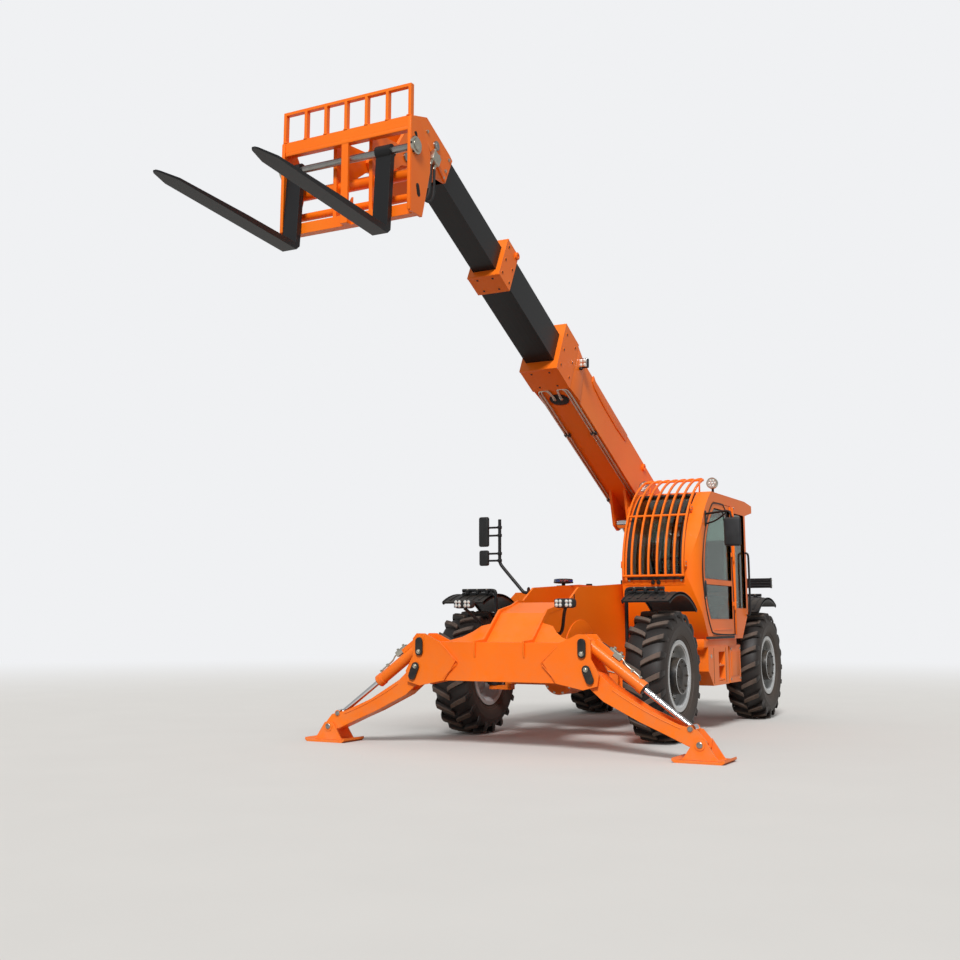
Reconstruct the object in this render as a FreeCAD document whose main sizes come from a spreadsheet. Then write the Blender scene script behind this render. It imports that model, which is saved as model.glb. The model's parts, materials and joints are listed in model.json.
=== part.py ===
import FreeCAD, Part
import math
import os
import re

import Sketcher
from FreeCAD import Rotation, Vector

# Telehandler: a four-wheel telescopic forklift with a three-section boom, a fork
# carriage, a glazed cab on its left, an engine pod on its right and a pair of
# outriggers on a beam across its nose.
# Millimetres, +X forward, +Y to the machine's left, +Z up. The ground is z = 0.
# Sizes are laid out from the middle of the wheelbase, and every finished piece is then
# moved back by origin_ahead, so that the part's origin is below the middle of its length.

# Driving dimensions: name, value, what it is.
SIZES = [
    ("origin_ahead", 2162.7, "the origin, ahead of the middle of the wheelbase"),
    ("wheelbase", 3200, "front axle to rear axle"),
    ("wheel_track", 2000, "wheel centre to wheel centre across the machine"),
    ("tyre_diameter", 1220, "tyre over its lugs"),
    ("tyre_width", 400, "tyre across its walls"),
    ("tread_depth", 38, "lug height"),
    ("lug_slant", 118, "a lug's lean, from its nose to its shoulder, round the tyre"),
    ("lug_width", 44, "a lug, measured round the tyre"),
    ("bead_diameter", 610, "tyre's seat on the rim"),
    ("rim_flange", 660, "rim's flange, outside"),
    ("rim_width", 330, "rim over its flanges"),
    ("rim_wall", 14, "rim's rolled section"),
    ("disc_inset", 40, "wheel disc, outboard of the tyre's middle"),
    ("hub_radius", 165, "planetary hub drum"),
    ("hub_length", 150, "planetary hub drum, outboard of the disc"),
    ("kingpin_inset", 220, "kingpin, inboard of the tyre's middle"),
    ("kingpin_radius", 32, "kingpin"),
    ("knuckle_height", 250, "knuckle between the axle's ears"),
    ("spindle_radius", 60, "stub axle"),
    ("axle_side", 220, "square axle housing"),
    ("ear_thickness", 40, "axle's ears above and below the knuckle"),
    ("fender_radius", 760, "fender, inside"),
    ("fender_thickness", 16, "fender"),
    ("fender_width", 470, "fender across"),
    ("fender_lead", 27, "fender's sweep away from the cab, degrees"),
    ("fender_trail", 38, "fender's sweep towards the cab, degrees"),
    ("steer_room", 6, "knuckle to ear, and fender bracket to ear"),
    ("frame_width", 500, "over the frame's side plates"),
    ("plate_gauge", 20, "frame plates"),
    ("frame_rear", -2500, "back end of the side plates"),
    ("frame_bottom", 550, "belly"),
    ("frame_arch", 780, "side plates above the axles"),
    ("frame_top", 1500, "side plates beside the cab"),
    ("beam_middle", 2930, "outrigger beam, ahead of the middle of the wheelbase"),
    ("beam_depth", 200, "outrigger beam, front to back"),
    ("beam_low", 590, "outrigger beam's underside"),
    ("beam_high", 930, "outrigger beam's top"),
    ("beam_length", 1420, "outrigger beam between its fork ends"),
    ("boom_pivot_x", -2150, "boom's pivot"),
    ("boom_pivot_z", 1600, "boom's pivot"),
    ("boom_angle", 26.5, "boom above level as it stands, degrees"),
    ("boom_rise", 60, "boom's middle line above its pivot"),
    ("boom_pin_radius", 50, "boom's pivot pin"),
    ("base_width", 380, "base section"),
    ("base_height", 450, "base section"),
    ("base_wall", 10, "base section"),
    ("base_tail", 180, "base section behind the pivot"),
    ("base_front", 4750, "base section's front end from the pivot"),
    ("base_collar", 345, "base section's collar"),
    ("mid_width", 300, "middle section"),
    ("mid_height", 325, "middle section"),
    ("mid_wall", 10, "middle section"),
    ("mid_length", 4830, "middle section with its collar"),
    ("mid_collar", 240, "middle section's collar"),
    ("tip_width", 230, "tip section"),
    ("tip_height", 265, "tip section"),
    ("tip_wall", 8, "tip section"),
    ("tip_length", 4780, "tip section up to the boom head"),
    ("collar_side", 12, "collars, proud of their section's sides"),
    ("collar_low", 32, "collars, below their section"),
    ("collar_high", 68, "collars, above their section"),
    ("nose_gap", 50, "between one collar and the next when the boom is in"),
    ("boom_out", 1025, "how far each section is out as it stands"),
    ("slide_gap", 0.5, "wear pad to section"),
    ("pad_ring", 100, "length of the wear pads"),
    ("nose_reach", 600, "nose pin ahead of the tip section"),
    ("nose_drop", 460, "nose pin below the boom's middle line"),
    ("nose_pin_radius", 35, "nose pin"),
    ("head_plate", 25, "boom head's cheeks"),
    ("pin_gap", 0.3, "pin to bore, all round"),
    ("shaft_ahead", 530, "fork shaft ahead of the nose pin"),
    ("shaft_below", 177, "fork shaft below the nose pin"),
    ("shaft_radius", 28, "fork shaft"),
    ("carriage_width", 1160, "over the fork carriage's side plates"),
    ("carriage_low", 507, "carriage below its shaft"),
    ("carriage_high", 220, "carriage above its shaft"),
    ("guard_high", 467, "load guard above the shaft"),
    ("carriage_front", 50, "carriage's front ahead of its shaft"),
    ("fork_width", 130, "fork"),
    ("fork_gauge", 50, "fork shank and heel"),
    ("fork_drop", 647, "fork's underside below the shaft"),
    ("fork_reach", 1455, "fork tip ahead of the shaft"),
    ("fork_back", 30, "shank's back behind the shaft's middle"),
    ("fork_lean", 4, "forks' heels swung forward on their shaft, degrees"),
    ("fork_left_y", 324, "left fork's middle"),
    ("fork_right_y", -485, "right fork's middle"),
    ("lift_foot_x", -1700, "lift cylinder's foot pin"),
    ("lift_foot_z", 1000, "lift cylinder's foot pin"),
    ("lift_eye_along", 2150, "lift rod's eye along the boom from its pivot"),
    ("lift_eye_below", 400, "lift rod's eye below the boom's pivot line"),
    ("lift_barrel_radius", 85, "lift cylinder"),
    ("lift_barrel_length", 1450, "lift cylinder, foot pin to gland"),
    ("lift_rod_radius", 45, "lift cylinder's rod"),
    ("arm_pivot_y", 870, "outrigger arm's pin from the middle"),
    ("arm_pivot_z", 630, "outrigger arm's pin"),
    ("jack_pivot_y", 800, "outrigger cylinder's pin from the middle"),
    ("jack_pivot_z", 930, "outrigger cylinder's pin"),
    ("foot_pin_y", 1800, "foot pad's pin from the middle"),
    ("foot_pin_z", 140, "foot pad's pin above the ground"),
    ("arm_width", 164, "outrigger arm over its side plates"),
    ("arm_gauge", 14, "outrigger arm's plates"),
    ("jack_radius", 52, "outrigger cylinder"),
    ("jack_length", 625, "outrigger cylinder, pin to gland"),
    ("jack_rod_radius", 24, "outrigger cylinder's rod"),
    ("jack_eye_back", 130, "outrigger rod's eye, back from the foot pin"),
    ("jack_eye_above", 66, "outrigger rod's eye above the arm's middle line"),
    ("foot_length", 440, "foot pad across the machine"),
    ("foot_width", 340, "foot pad along the machine"),
    ("foot_gauge", 20, "foot pad's sole"),
    ("link_pin_radius", 24, "outrigger pins"),
    ("cab_inner", 300, "cab's side next to the boom"),
    ("cab_outer", 1130, "cab's door side"),
    ("cab_floor", 930, "cab's underside"),
    ("cab_roof", 2470, "cab's roof"),
    ("cab_back", -950, "cab's back wall"),
    ("cab_wall", 60, "cab's walls and door"),
    ("nose_radius", 980, "cab's curved front"),
    ("nose_middle_x", -170, "middle of the cab's curved front"),
    ("nose_middle_z", 1620, "middle of the cab's curved front"),
    ("corner_radius", 150, "cab's front corner on the door side"),
    ("glass_gauge", 8, "glass"),
    ("glass_inset", 18, "glass behind the outer face"),
    ("door_hinge_x", -390, "door's hinge line"),
    ("door_gap", 6, "round the door"),
    ("guard_bar", 10, "windscreen guard's bars, radius"),
    ("guard_rail", 12, "windscreen guard's cross rails, radius"),
    ("guard_stand", 60, "windscreen guard's bars ahead of the glass"),
    ("guard_bars", 8, "how many bars"),
    ("pod_length", 1640, "engine pod"),
    ("pod_outer", 1120, "engine pod's outer side"),
    ("pod_floor", 560, "engine pod's tray"),
    ("pod_split", 750, "where the hood meets the tray"),
    ("pod_top", 1420, "engine hood's top"),
    ("hood_wall", 30, "engine hood's wall"),
    ("hood_gap", 6, "hood to tray and frame"),
    ("louvre_depth", 18, "grilles in the hood"),
    ("louvre_pitch", 38, "grilles in the hood"),
    ("rear_bar_length", 2000, "rear bar"),
    ("rear_bar_low", 1530, "rear bar's underside"),
    ("rear_bar_high", 1650, "rear bar's top"),
    ("rear_bar_depth", 60, "rear bar"),
    ("hitch_bore_radius", 20, "tow pin's hole"),
    ("hitch_z", 640, "middle of the tow jaw"),
    ("hitch_back", 105, "tow pin's hole, behind the frame"),
]
NAMES = {name for name, value, note in SIZES}
WORD = re.compile(r"[a-z_]+")

doc = FreeCAD.newDocument("Telehandler")
sheet = doc.addObject("Spreadsheet::Sheet", "Sizes")
for row, (name, value, note) in enumerate(SIZES, start=1):
    sheet.set(f"A{row}", name)
    sheet.set(f"B{row}", str(value))
    sheet.set(f"C{row}", note)
    sheet.setAlias(f"B{row}", name)
doc.recompute()

nodes = []


def size(name):
    """A size as the sheet holds it."""
    return float(sheet.get(name))


def bound(formula):
    """The formula with the sheet's name before each of its sizes."""
    return WORD.sub(lambda m: "Sizes." + m.group() if m.group() in NAMES else m.group(), str(formula))


def bind(item, **formulas):
    for path, formula in formulas.items():
        item.setExpression(path.replace("__", "."), bound(formula))


def move(item, x=0, y=0, z=0):
    bind(item, Placement__Base__x=x, Placement__Base__y=y, Placement__Base__z=z)
    return item


def turn(item, axis, angle, x=0, y=0, z=0):
    """Turns an item about its own origin, and moves that origin to x, y, z."""
    item.Placement = FreeCAD.Placement(Vector(), Rotation(axis, 1))
    bind(item, Placement__Rotation__Angle=angle)
    return move(item, x, y, z)


# Shapes that the pieces are made of


def block(x_low, x_high, y_low, y_high, z_low, z_high):
    item = doc.addObject("Part::Box", "Block")
    bind(item, Length=f"({x_high}) - ({x_low})", Width=f"({y_high}) - ({y_low})")
    bind(item, Height=f"({z_high}) - ({z_low})")
    return move(item, x_low, y_low, z_low)


def rod_x(radius, low, high, y=0, z=0):
    item = doc.addObject("Part::Cylinder", "Rod")
    item.Placement.Rotation = Rotation(Vector(0, 1, 0), 90)
    bind(item, Radius=radius, Height=f"({high}) - ({low})")
    return move(item, low, y, z)


def rod_y(radius, low, high, x=0, z=0):
    item = doc.addObject("Part::Cylinder", "Rod")
    item.Placement.Rotation = Rotation(Vector(1, 0, 0), -90)
    bind(item, Radius=radius, Height=f"({high}) - ({low})")
    return move(item, x, low, z)


def rod_z(radius, low, high, x=0, y=0):
    item = doc.addObject("Part::Cylinder", "Rod")
    bind(item, Radius=radius, Height=f"({high}) - ({low})")
    return move(item, x, y, low)


def outlined(role, points, offset):
    """A body with a closed outline on one of its origin planes, moved along the plane's normal."""
    body = doc.addObject("PartDesign::Body", "Plate")
    sketch = body.newObject("Sketcher::SketchObject", "Outline")
    plane = [f for f in body.Origin.OriginFeatures if f.Role == role][0]
    sketch.AttachmentSupport = [(plane, "")]
    sketch.MapMode = "FlatFace"
    sketch.setExpression("AttachmentOffset.Base.z", bound(offset))
    count = len(points)
    ring = [Rotation(Vector(0, 0, 1), 360 * i / count).multVec(Vector(99, 0, 0)) for i in range(count)]
    for i in range(count):
        sketch.addGeometry(Part.LineSegment(ring[i], ring[(i + 1) % count]), False)
    for i in range(count):
        sketch.addConstraint(Sketcher.Constraint("Coincident", i, 2, (i + 1) % count, 1))
    for i, (across, up) in enumerate(points):
        for kind, formula in (("DistanceX", across), ("DistanceY", up)):
            index = sketch.addConstraint(Sketcher.Constraint(kind, -1, 1, i, 1, 1.0))
            sketch.setExpression(f"Constraints[{index}]", bound(formula))
    return body, sketch


def padded(role, points, low, high):
    """A body with one pad: an outline on one of its origin planes, between two levels."""
    # The XZ plane's normal points along -Y.
    body, sketch = outlined(role, points, f"-({high})" if role == "XZ_Plane" else low)
    pad = body.newObject("PartDesign::Pad", "Pad")
    pad.Profile = sketch
    bind(pad, Length=f"({high}) - ({low})")
    return body


def spun(points, x, y, z):
    """A body turned about an axle along Y through x, y, z, from (along, radius) points."""
    body, sketch = outlined("YZ_Plane", points, 0)
    turn_round = body.newObject("PartDesign::Revolution", "Revolution")
    turn_round.Profile = sketch
    turn_round.ReferenceAxis = (sketch, ["H_Axis"])
    turn_round.Angle = 360
    return move(body, x, y, z)


def side_plate(points, y_low, y_high):
    """An outline of (x, z) points, as thick as y_low to y_high."""
    return padded("XZ_Plane", points, y_low, y_high)


def cross_plate(points, x_low, x_high):
    """An outline of (y, z) points, as thick as x_low to x_high."""
    return padded("YZ_Plane", points, x_low, x_high)


def flat_plate(points, z_low, z_high):
    """An outline of (x, y) points, as thick as z_low to z_high."""
    return padded("XY_Plane", points, z_low, z_high)


def fuse(*items):
    item = doc.addObject("Part::MultiFuse", "Welded")
    item.Shapes = list(items)
    item.Refine = True
    return item


def cut(base, *tools):
    item = doc.addObject("Part::Cut", "Cut")
    item.Base = base
    item.Tool = tools[0] if len(tools) == 1 else fuse(*tools)
    item.Refine = True
    return item


def common(*items):
    item = doc.addObject("Part::MultiCommon", "Shared")
    item.Shapes = list(items)
    return item


def grouped(*items):
    """Solids that don't touch, as one piece."""
    item = doc.addObject("Part::Compound", "Group")
    item.Links = list(items)
    return item


def mirrored(item, normal=Vector(0, 1, 0)):
    copy = doc.addObject("Part::Mirroring", "Mirrored")
    copy.Source = item
    copy.Normal = normal
    return copy


def both_sides(item):
    """An item and its mirror image on the machine's other side."""
    return [item, mirrored(item)]


def box_tube(x_low, x_high, width, height, wall, z_middle):
    """A square tube along X."""
    outside = block(x_low, x_high, f"-({width}) / 2", f"({width}) / 2",
                    f"{z_middle} - ({height}) / 2", f"{z_middle} + ({height}) / 2")
    hole = block(f"{x_low} - 1", f"{x_high} + 1", f"-({width}) / 2 + {wall}", f"({width}) / 2 - {wall}",
                 f"{z_middle} - ({height}) / 2 + {wall}", f"{z_middle} + ({height}) / 2 - {wall}")
    return cut(outside, hole)


def skinned(name, rings, closed):
    """A solid with flat faces between each ring of points and the next; a closed one has no end caps."""
    faces = [] if closed else [Part.Face(Part.makePolygon(ring + ring[:1])) for ring in (rings[0], rings[-1])]
    pairs = zip(rings, rings[1:] + rings[:1]) if closed else zip(rings, rings[1:])
    for ring, following in pairs:
        for i in range(len(ring)):
            j = (i + 1) % len(ring)
            faces.append(Part.Face(Part.makePolygon([ring[i], ring[j], following[j], following[i], ring[i]])))
    item = doc.addObject("Part::Feature", name)
    solid = Part.makeSolid(Part.makeShell(faces))
    if solid.Volume < 0:
        solid.reverse()
    item.Shape = solid
    return item


PIPE_SIDES = 12


def pipe(points, radius, bend):
    """A pipe through a list of points, each corner eased by two mitres the bend's length apart."""
    corners = [Vector(*point) for point in points]
    path = [corners[0]]
    for before, corner, after in zip(corners, corners[1:], corners[2:]):
        path.append(corner + (before - corner).normalize() * bend / 2)
        path.append(corner + (after - corner).normalize() * bend / 2)
    path.append(corners[-1])
    legs = [(after - before).normalize() for before, after in zip(path, path[1:])]
    across = legs[0].cross(Vector(0.36, 0.48, 0.8)).normalize()
    up = legs[0].cross(across)
    ring = [path[0] + (across * math.cos(angle) + up * math.sin(angle)) * radius
            for angle in (2 * math.pi * i / PIPE_SIDES for i in range(PIPE_SIDES))]
    rings = [ring]
    for place, leg, following in zip(path[1:], legs, legs[1:] + legs[-1:]):
        mitre = leg + following
        ring = [point + leg * ((place - point).dot(mitre) / leg.dot(mitre)) for point in ring]
        rings.append(ring)
    return skinned("Pipe", rings, False)


def node(name, item):
    """Moves a finished piece into the part's own frame and puts it on the list."""
    piece = doc.addObject("Part::Compound", "Piece")
    piece.Links = [item]
    piece.Label = name
    move(piece, "-origin_ahead")
    nodes.append(piece)


# The chassis


def side_frame():
    """The left side plate, from the rear post that holds the boom to the nose."""
    front = "beam_middle - beam_depth / 2"
    outline = [
        ("frame_rear", "frame_arch + 20"), ("-wheelbase / 2 + 420", "frame_arch"),
        ("-wheelbase / 2 + 540", "frame_bottom"), ("wheelbase / 2 - 540", "frame_bottom"),
        ("wheelbase / 2 - 420", "frame_arch"), ("wheelbase / 2 + 560", "frame_arch"),
        ("wheelbase / 2 + 700", "beam_low"), (front, "beam_low"),
        (front, "beam_high"), (f"{front} - 300", "beam_high + 260"),
        (f"{front} - 660", "frame_top - 190"), (f"{front} - 770", "frame_top - 190"),
        (f"{front} - 1000", "frame_top - 60"), ("700", "frame_top"),
        ("-wheelbase / 2 + 900", "frame_top"), ("-wheelbase / 2 + 350", "frame_top - 230"),
        ("boom_pivot_x + 330", "boom_pivot_z - 250"), ("boom_pivot_x + 170", "boom_pivot_z + 200"),
        ("boom_pivot_x - 170", "boom_pivot_z + 200"), ("frame_rear", "rear_bar_high"),
    ]
    return side_plate(outline, "frame_width / 2 - plate_gauge", "frame_width / 2")


def nose_slope():
    """The sloping plate between the side plates, down to the beam."""
    front = "beam_middle - beam_depth / 2"
    outline = [
        (front, "beam_high - plate_gauge"), (front, "beam_high"), (f"{front} - 300", "beam_high + 260"),
        (f"{front} - 660", "frame_top - 210"), (f"{front} - 660", "frame_top - 210 - plate_gauge * 1.5"),
        (f"{front} - 310", "beam_high + 230"),
    ]
    inside = "frame_width / 2 - plate_gauge"
    return side_plate(outline, f"-({inside})", inside)


def cross_members():
    inside = "frame_width / 2 - plate_gauge"
    belly = block("-wheelbase / 2 + 540", "wheelbase / 2 - 540", f"-({inside})", inside,
                  "frame_bottom", "frame_bottom + plate_gauge")
    back = block("frame_rear", "frame_rear + plate_gauge", f"-({inside})", inside, "frame_arch + 20", "1250")
    posts = [rod_y(60, f"-({inside})", inside, x, z) for x, z in (
        ("lift_foot_x - 480", "frame_arch + 110"), ("-250", "frame_bottom + 120"),
        ("wheelbase / 2 - 450", "frame_arch + 90"), ("wheelbase / 2 + 520", "frame_arch + 90"))]
    return [belly, back] + posts


def axle_saddles():
    """The blocks that the side plates stand on above each axle."""
    top = "tyre_diameter / 2 + axle_side / 2"
    saddles = []
    for axle in ("wheelbase / 2", "-wheelbase / 2"):
        saddles += both_sides(block(f"{axle} - 120", f"{axle} + 120", "frame_width / 2 - 80",
                                    "frame_width / 2", top, "frame_arch + 20"))
    return saddles


def beam_fork_plate(low, high):
    """One of the two plates at each end of the beam that hold an outrigger's pins."""
    outline = [
        ("beam_length / 2 - 160", "beam_low"), ("beam_length / 2 + 90", "beam_low - 50"),
        ("arm_pivot_y + 62", "arm_pivot_z - 55"), ("arm_pivot_y + 78", "arm_pivot_z + 40"),
        ("jack_pivot_y + 75", "(arm_pivot_z + jack_pivot_z) / 2 + 20"),
        ("jack_pivot_y + 75", "jack_pivot_z + 30"), ("jack_pivot_y + 35", "jack_pivot_z + 75"),
        ("jack_pivot_y - 45", "jack_pivot_z + 75"), ("beam_length / 2 - 120", "beam_high"),
        ("beam_length / 2 - 280", "(beam_low + beam_high) / 2"),
    ]
    return cross_plate(outline, low, high)


def outrigger_beam():
    front = "beam_middle + beam_depth / 2"
    back = "beam_middle - beam_depth / 2"
    pieces = [block(back, front, "-beam_length / 2", "beam_length / 2", "beam_low", "beam_high")]
    for low, high in ((front, f"{front} + plate_gauge"), (f"{back} - plate_gauge", back)):
        pieces += both_sides(beam_fork_plate(low, high))
    for y, z in (("arm_pivot_y", "arm_pivot_z"), ("jack_pivot_y", "jack_pivot_z")):
        pieces += both_sides(rod_x("link_pin_radius", f"{back} - plate_gauge - 12",
                                   f"{front} + plate_gauge + 12", y, z))
    return pieces


def boom_posts():
    """The bosses on the rear posts, the boom's pin and the lift cylinder's pin."""
    inside = "frame_width / 2 - plate_gauge"
    bosses = both_sides(rod_y("boom_pin_radius * 2", "frame_width / 2", "frame_width / 2 + 30",
                              "boom_pivot_x", "boom_pivot_z"))
    pin = rod_y("boom_pin_radius", "-frame_width / 2 - 45", "frame_width / 2 + 45",
                "boom_pivot_x", "boom_pivot_z")
    foot_pin = rod_y("lift_rod_radius - 8", f"-({inside})", inside, "lift_foot_x", "lift_foot_z")
    return bosses + [pin, foot_pin]


def cab_brackets():
    """The cross bars below the cab."""
    return [block(x, f"{x} + 120", "frame_width / 2", "cab_outer - 60", "cab_floor - 70", "cab_floor")
            for x in ("330", "-650")]


def tow_jaw():
    """Two ears with a bore for a tow pin, behind the rear cross plate."""
    ears = []
    for low in ("hitch_z - 60", "hitch_z + 35"):
        ears.append(block("frame_rear - hitch_back - 50", "frame_rear + 60", "-70", "70", low, f"{low} + 25"))
    back = block("frame_rear + 20", "frame_rear + 60", "-frame_width / 2 + plate_gauge",
                 "frame_width / 2 - plate_gauge", "hitch_z - 60", "frame_arch + 220")
    jaw = fuse(*ears, back)
    return cut(jaw, rod_z("hitch_bore_radius", "hitch_z - 80", "hitch_z + 80", "frame_rear - hitch_back"))


def chassis_frame():
    pieces = both_sides(side_frame()) + [nose_slope()] + cross_members() + axle_saddles()
    pieces += outrigger_beam() + boom_posts() + cab_brackets() + [tow_jaw()] + hood_hinge("hood_gap * 2")
    node("chassis_frame", fuse(*pieces))


KINGPIN = "(wheel_track / 2 - kingpin_inset)"


def axle(x):
    """A square housing with a differential, and two ears at each end for the knuckle."""
    middle = "tyre_diameter / 2"
    half = "axle_side / 2"
    housing = block(f"{x} - {half}", f"{x} + {half}", f"190 - {KINGPIN}",
                    f"{KINGPIN} - 190", f"{middle} - {half}", f"{middle} + {half}")
    drum = rod_x("axle_side * 0.72", f"{x} - 170", f"{x} + 170", 0, f"{middle} - 40")
    flat = block(f"{x} - 200", f"{x} + 200", "-220", "220", f"{middle} + {half}", "frame_top")
    gap = "(knuckle_height / 2 + steer_room)"
    ears = []
    for low in (f"{middle} + {gap}", f"{middle} - {gap} - ear_thickness"):
        ears += both_sides(block(f"{x} - 45", f"{x} + 45", f"{KINGPIN} - 200",
                                 KINGPIN, low, f"{low} + ear_thickness"))
        ears += both_sides(rod_z(60, low, f"{low} + ear_thickness", x, KINGPIN))
    webs = both_sides(block(f"{x} - 45", f"{x} + 45", f"{KINGPIN} - 200",
                            f"{KINGPIN} - 140", f"{middle} - {gap}", f"{middle} + {gap}"))
    ram = rod_y(38, f"260 - {KINGPIN}", f"{KINGPIN} - 260",
                f"{x} + {half} + 30", f"{middle} - 60")
    bores = both_sides(rod_z("kingpin_radius + pin_gap", "0", "tyre_diameter", x, KINGPIN))
    return cut(fuse(cut(fuse(housing, drum), flat), ram, *ears, *webs), *bores)


def axles():
    node("front_axle", axle("wheelbase / 2"))
    node("rear_axle", axle("-wheelbase / 2"))


# Wheels


def fender(x, ahead, behind):
    """A curved mudguard over the left wheel at x, swept so many degrees forward and back."""
    middle = "tyre_diameter / 2"
    inner, outer = "wheel_track / 2 - 270", "wheel_track / 2 - 270 + fender_width"
    hoop = cut(rod_y("fender_radius + fender_thickness", inner, outer, x, middle),
               rod_y("fender_radius", f"{inner} - 1", f"{outer} + 1", x, middle))
    reach = "fender_radius * 2"
    wedge = side_plate([(x, middle), (f"{x} - {reach} * sin({behind})", f"{middle} + {reach} * cos({behind})"),
                        (f"{x} + {reach} * sin({ahead})", f"{middle} + {reach} * cos({ahead})")],
                       inner, outer)
    return common(hoop, wedge)


def fender_bracket(x, side):
    """The bent pipe from the knuckle, clear of the axle's ears, up and over the fender."""
    middle = size("tyre_diameter") / 2
    kingpin = size("wheel_track") / 2 - size("kingpin_inset")
    top = middle + size("fender_radius") + size("fender_thickness")
    points = [(x, kingpin, middle + 60), (x + side * 135, kingpin - 80, middle + 60),
              (x + side * 135, kingpin - 80, top), (x + side * 135, kingpin + 300, top)]
    return pipe(points, 18, 60)


def knuckle(end, ahead, behind):
    """The steered carrier of a left wheel, with its spindle, fender and bracket."""
    x = f"{end} * wheelbase / 2"
    middle = "tyre_diameter / 2"
    half = "knuckle_height / 2"
    post = rod_z(75, f"{middle} - {half}", f"{middle} + {half}", x, KINGPIN)
    spindle = rod_y("spindle_radius", KINGPIN, "wheel_track / 2 + disc_inset + 60", x, middle)
    flange = rod_y(110, f"{KINGPIN} + 66", f"{KINGPIN} + 96", x, middle)
    pins = rod_z("kingpin_radius", f"{middle} - {half} - steer_room - ear_thickness",
                 f"{middle} + {half} + steer_room + ear_thickness", x, KINGPIN)
    bracket = fender_bracket(end * size("wheelbase") / 2, end)
    return fuse(post, spindle, flange, pins, bracket, fender(x, ahead, behind))


def rim(x):
    """A rolled rim with its flanges, the disc and the planetary hub's drum."""
    seat, flange, half = "bead_diameter / 2", "rim_flange / 2", "rim_width / 2"
    inside = f"{seat} - rim_wall"
    rolled = spun([(f"-{half}", inside), (half, inside), (half, flange), (f"{half} - 15", flange),
                   (f"{half} - 15", seat), (f"15 - {half}", seat), (f"15 - {half}", flange),
                   (f"-{half}", flange)], x, "wheel_track / 2", "tyre_diameter / 2")
    face = "wheel_track / 2 + disc_inset"
    disc = rod_y(f"{inside} + 2", face, f"{face} + 14", x, "tyre_diameter / 2")
    hub = rod_y("hub_radius", f"{face} - 60", f"{face} + hub_length", x, "tyre_diameter / 2")
    bore = rod_y("spindle_radius + pin_gap", f"{face} - 61", f"{face} + 62", x, "tyre_diameter / 2")
    return cut(fuse(rolled, disc, hub), bore)


TYRE_SIDES = 20
LUGS = 20


LUG_CROWN = "sqrt(tyre_diameter * tyre_diameter / 4 - (lug_slant + lug_width) * (lug_slant + lug_width) / 4)"


def carcass():
    """The tyre without its lugs: a closed loop of (along, radius) points carried round in flats, one lowest."""
    crown, half, lip = size("tyre_diameter") / 2, size("tyre_width") / 2, size("rim_flange") / 2 + 3
    bead, seat = size("rim_width") / 2 - 15 - size("pin_gap"), size("bead_diameter") / 2 + size("pin_gap")
    right = [(bead, seat), (bead, lip), (half, lip + 100), (half - 20, crown - 85),
             (half - 90, crown - size("tread_depth"))]
    loop = right + [(-along, radius) for along, radius in reversed(right)]
    corner = math.cos(math.pi / TYRE_SIDES)
    rings = []
    for side in range(TYRE_SIDES):
        angle = 2 * math.pi * (side + 0.5) / TYRE_SIDES - math.pi / 2
        rings.append([Vector(radius / corner * math.cos(angle), along, radius / corner * math.sin(angle))
                      for along, radius in loop])
    return skinned("Carcass", rings, True)


def lug_row():
    """One row of lugs about the Y axis: a slanting bar at the bottom, and its copies round the tyre."""
    lean, half = "lug_slant / 2", "lug_width / 2"
    row = flat_plate([(f"-{lean} - {half}", "2"), (f"-{lean} + {half} * 0.4", "-16"),
                      (f"{lean} + {half}", "tyre_width / 2 - 12"), (f"{lean} - {half}", "tyre_width / 2 - 12")],
                     f"-{LUG_CROWN}", f"-{LUG_CROWN} + 145")
    row.AllowCompound = True
    pad = row.Tip
    spin = row.newObject("PartDesign::PolarPattern", "Row")
    spin.Originals = [pad]
    spin.Axis = ([f for f in row.Origin.OriginFeatures if f.Role == "Y_Axis"][0], [""])
    spin.Angle = 360
    spin.Occurrences = LUGS
    row.Tip = spin
    return row


def tyre(x):
    """The tyre from bead to bead, with two rows of lugs half a pitch apart."""
    other = turn(grouped(mirrored(lug_row())), Vector(0, 1, 0), 180 / LUGS)
    return move(grouped(fuse(carcass(), lug_row(), other)), x, "wheel_track / 2", "tyre_diameter / 2")


def wheels():
    for place, end in (("front", 1), ("rear", -1)):
        ahead, behind = ("fender_lead", "fender_trail") if end == 1 else ("fender_trail", "fender_lead")
        x = f"{end} * wheelbase / 2"
        makers = (("knuckle", knuckle(end, ahead, behind)), ("rim", rim(x)), ("tyre", tyre(x)))
        for kind, item in makers:
            node(f"{kind}_{place}_left", item)
            node(f"{kind}_{place}_right", mirrored(item))


# The boom, laid level with its pivot at the origin until boom_placed lifts it


def boom_placed(item, slid="0"):
    """Puts a level boom piece on the pivot at the boom's angle, slid out along the boom."""
    return turn(item, Vector(0, -1, 0), "boom_angle",
                f"boom_pivot_x + ({slid}) * cos(boom_angle)",
                0, f"boom_pivot_z + ({slid}) * sin(boom_angle)")


def collar(x_low, x_high, width, height, inner_width, inner_height):
    """A square collar with a lining of wear pads up to the section that slides in it."""
    outside = block(x_low, x_high, f"-({width}) / 2 - collar_side", f"({width}) / 2 + collar_side",
                    f"boom_rise - ({height}) / 2 - collar_low", f"boom_rise + ({height}) / 2 + collar_high")
    return cut(outside, block(f"{x_low} - 1", f"{x_high} + 1", f"-({inner_width}) / 2 - slide_gap",
                              f"({inner_width}) / 2 + slide_gap",
                              f"boom_rise - ({inner_height}) / 2 - slide_gap",
                              f"boom_rise + ({inner_height}) / 2 + slide_gap"))


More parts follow.
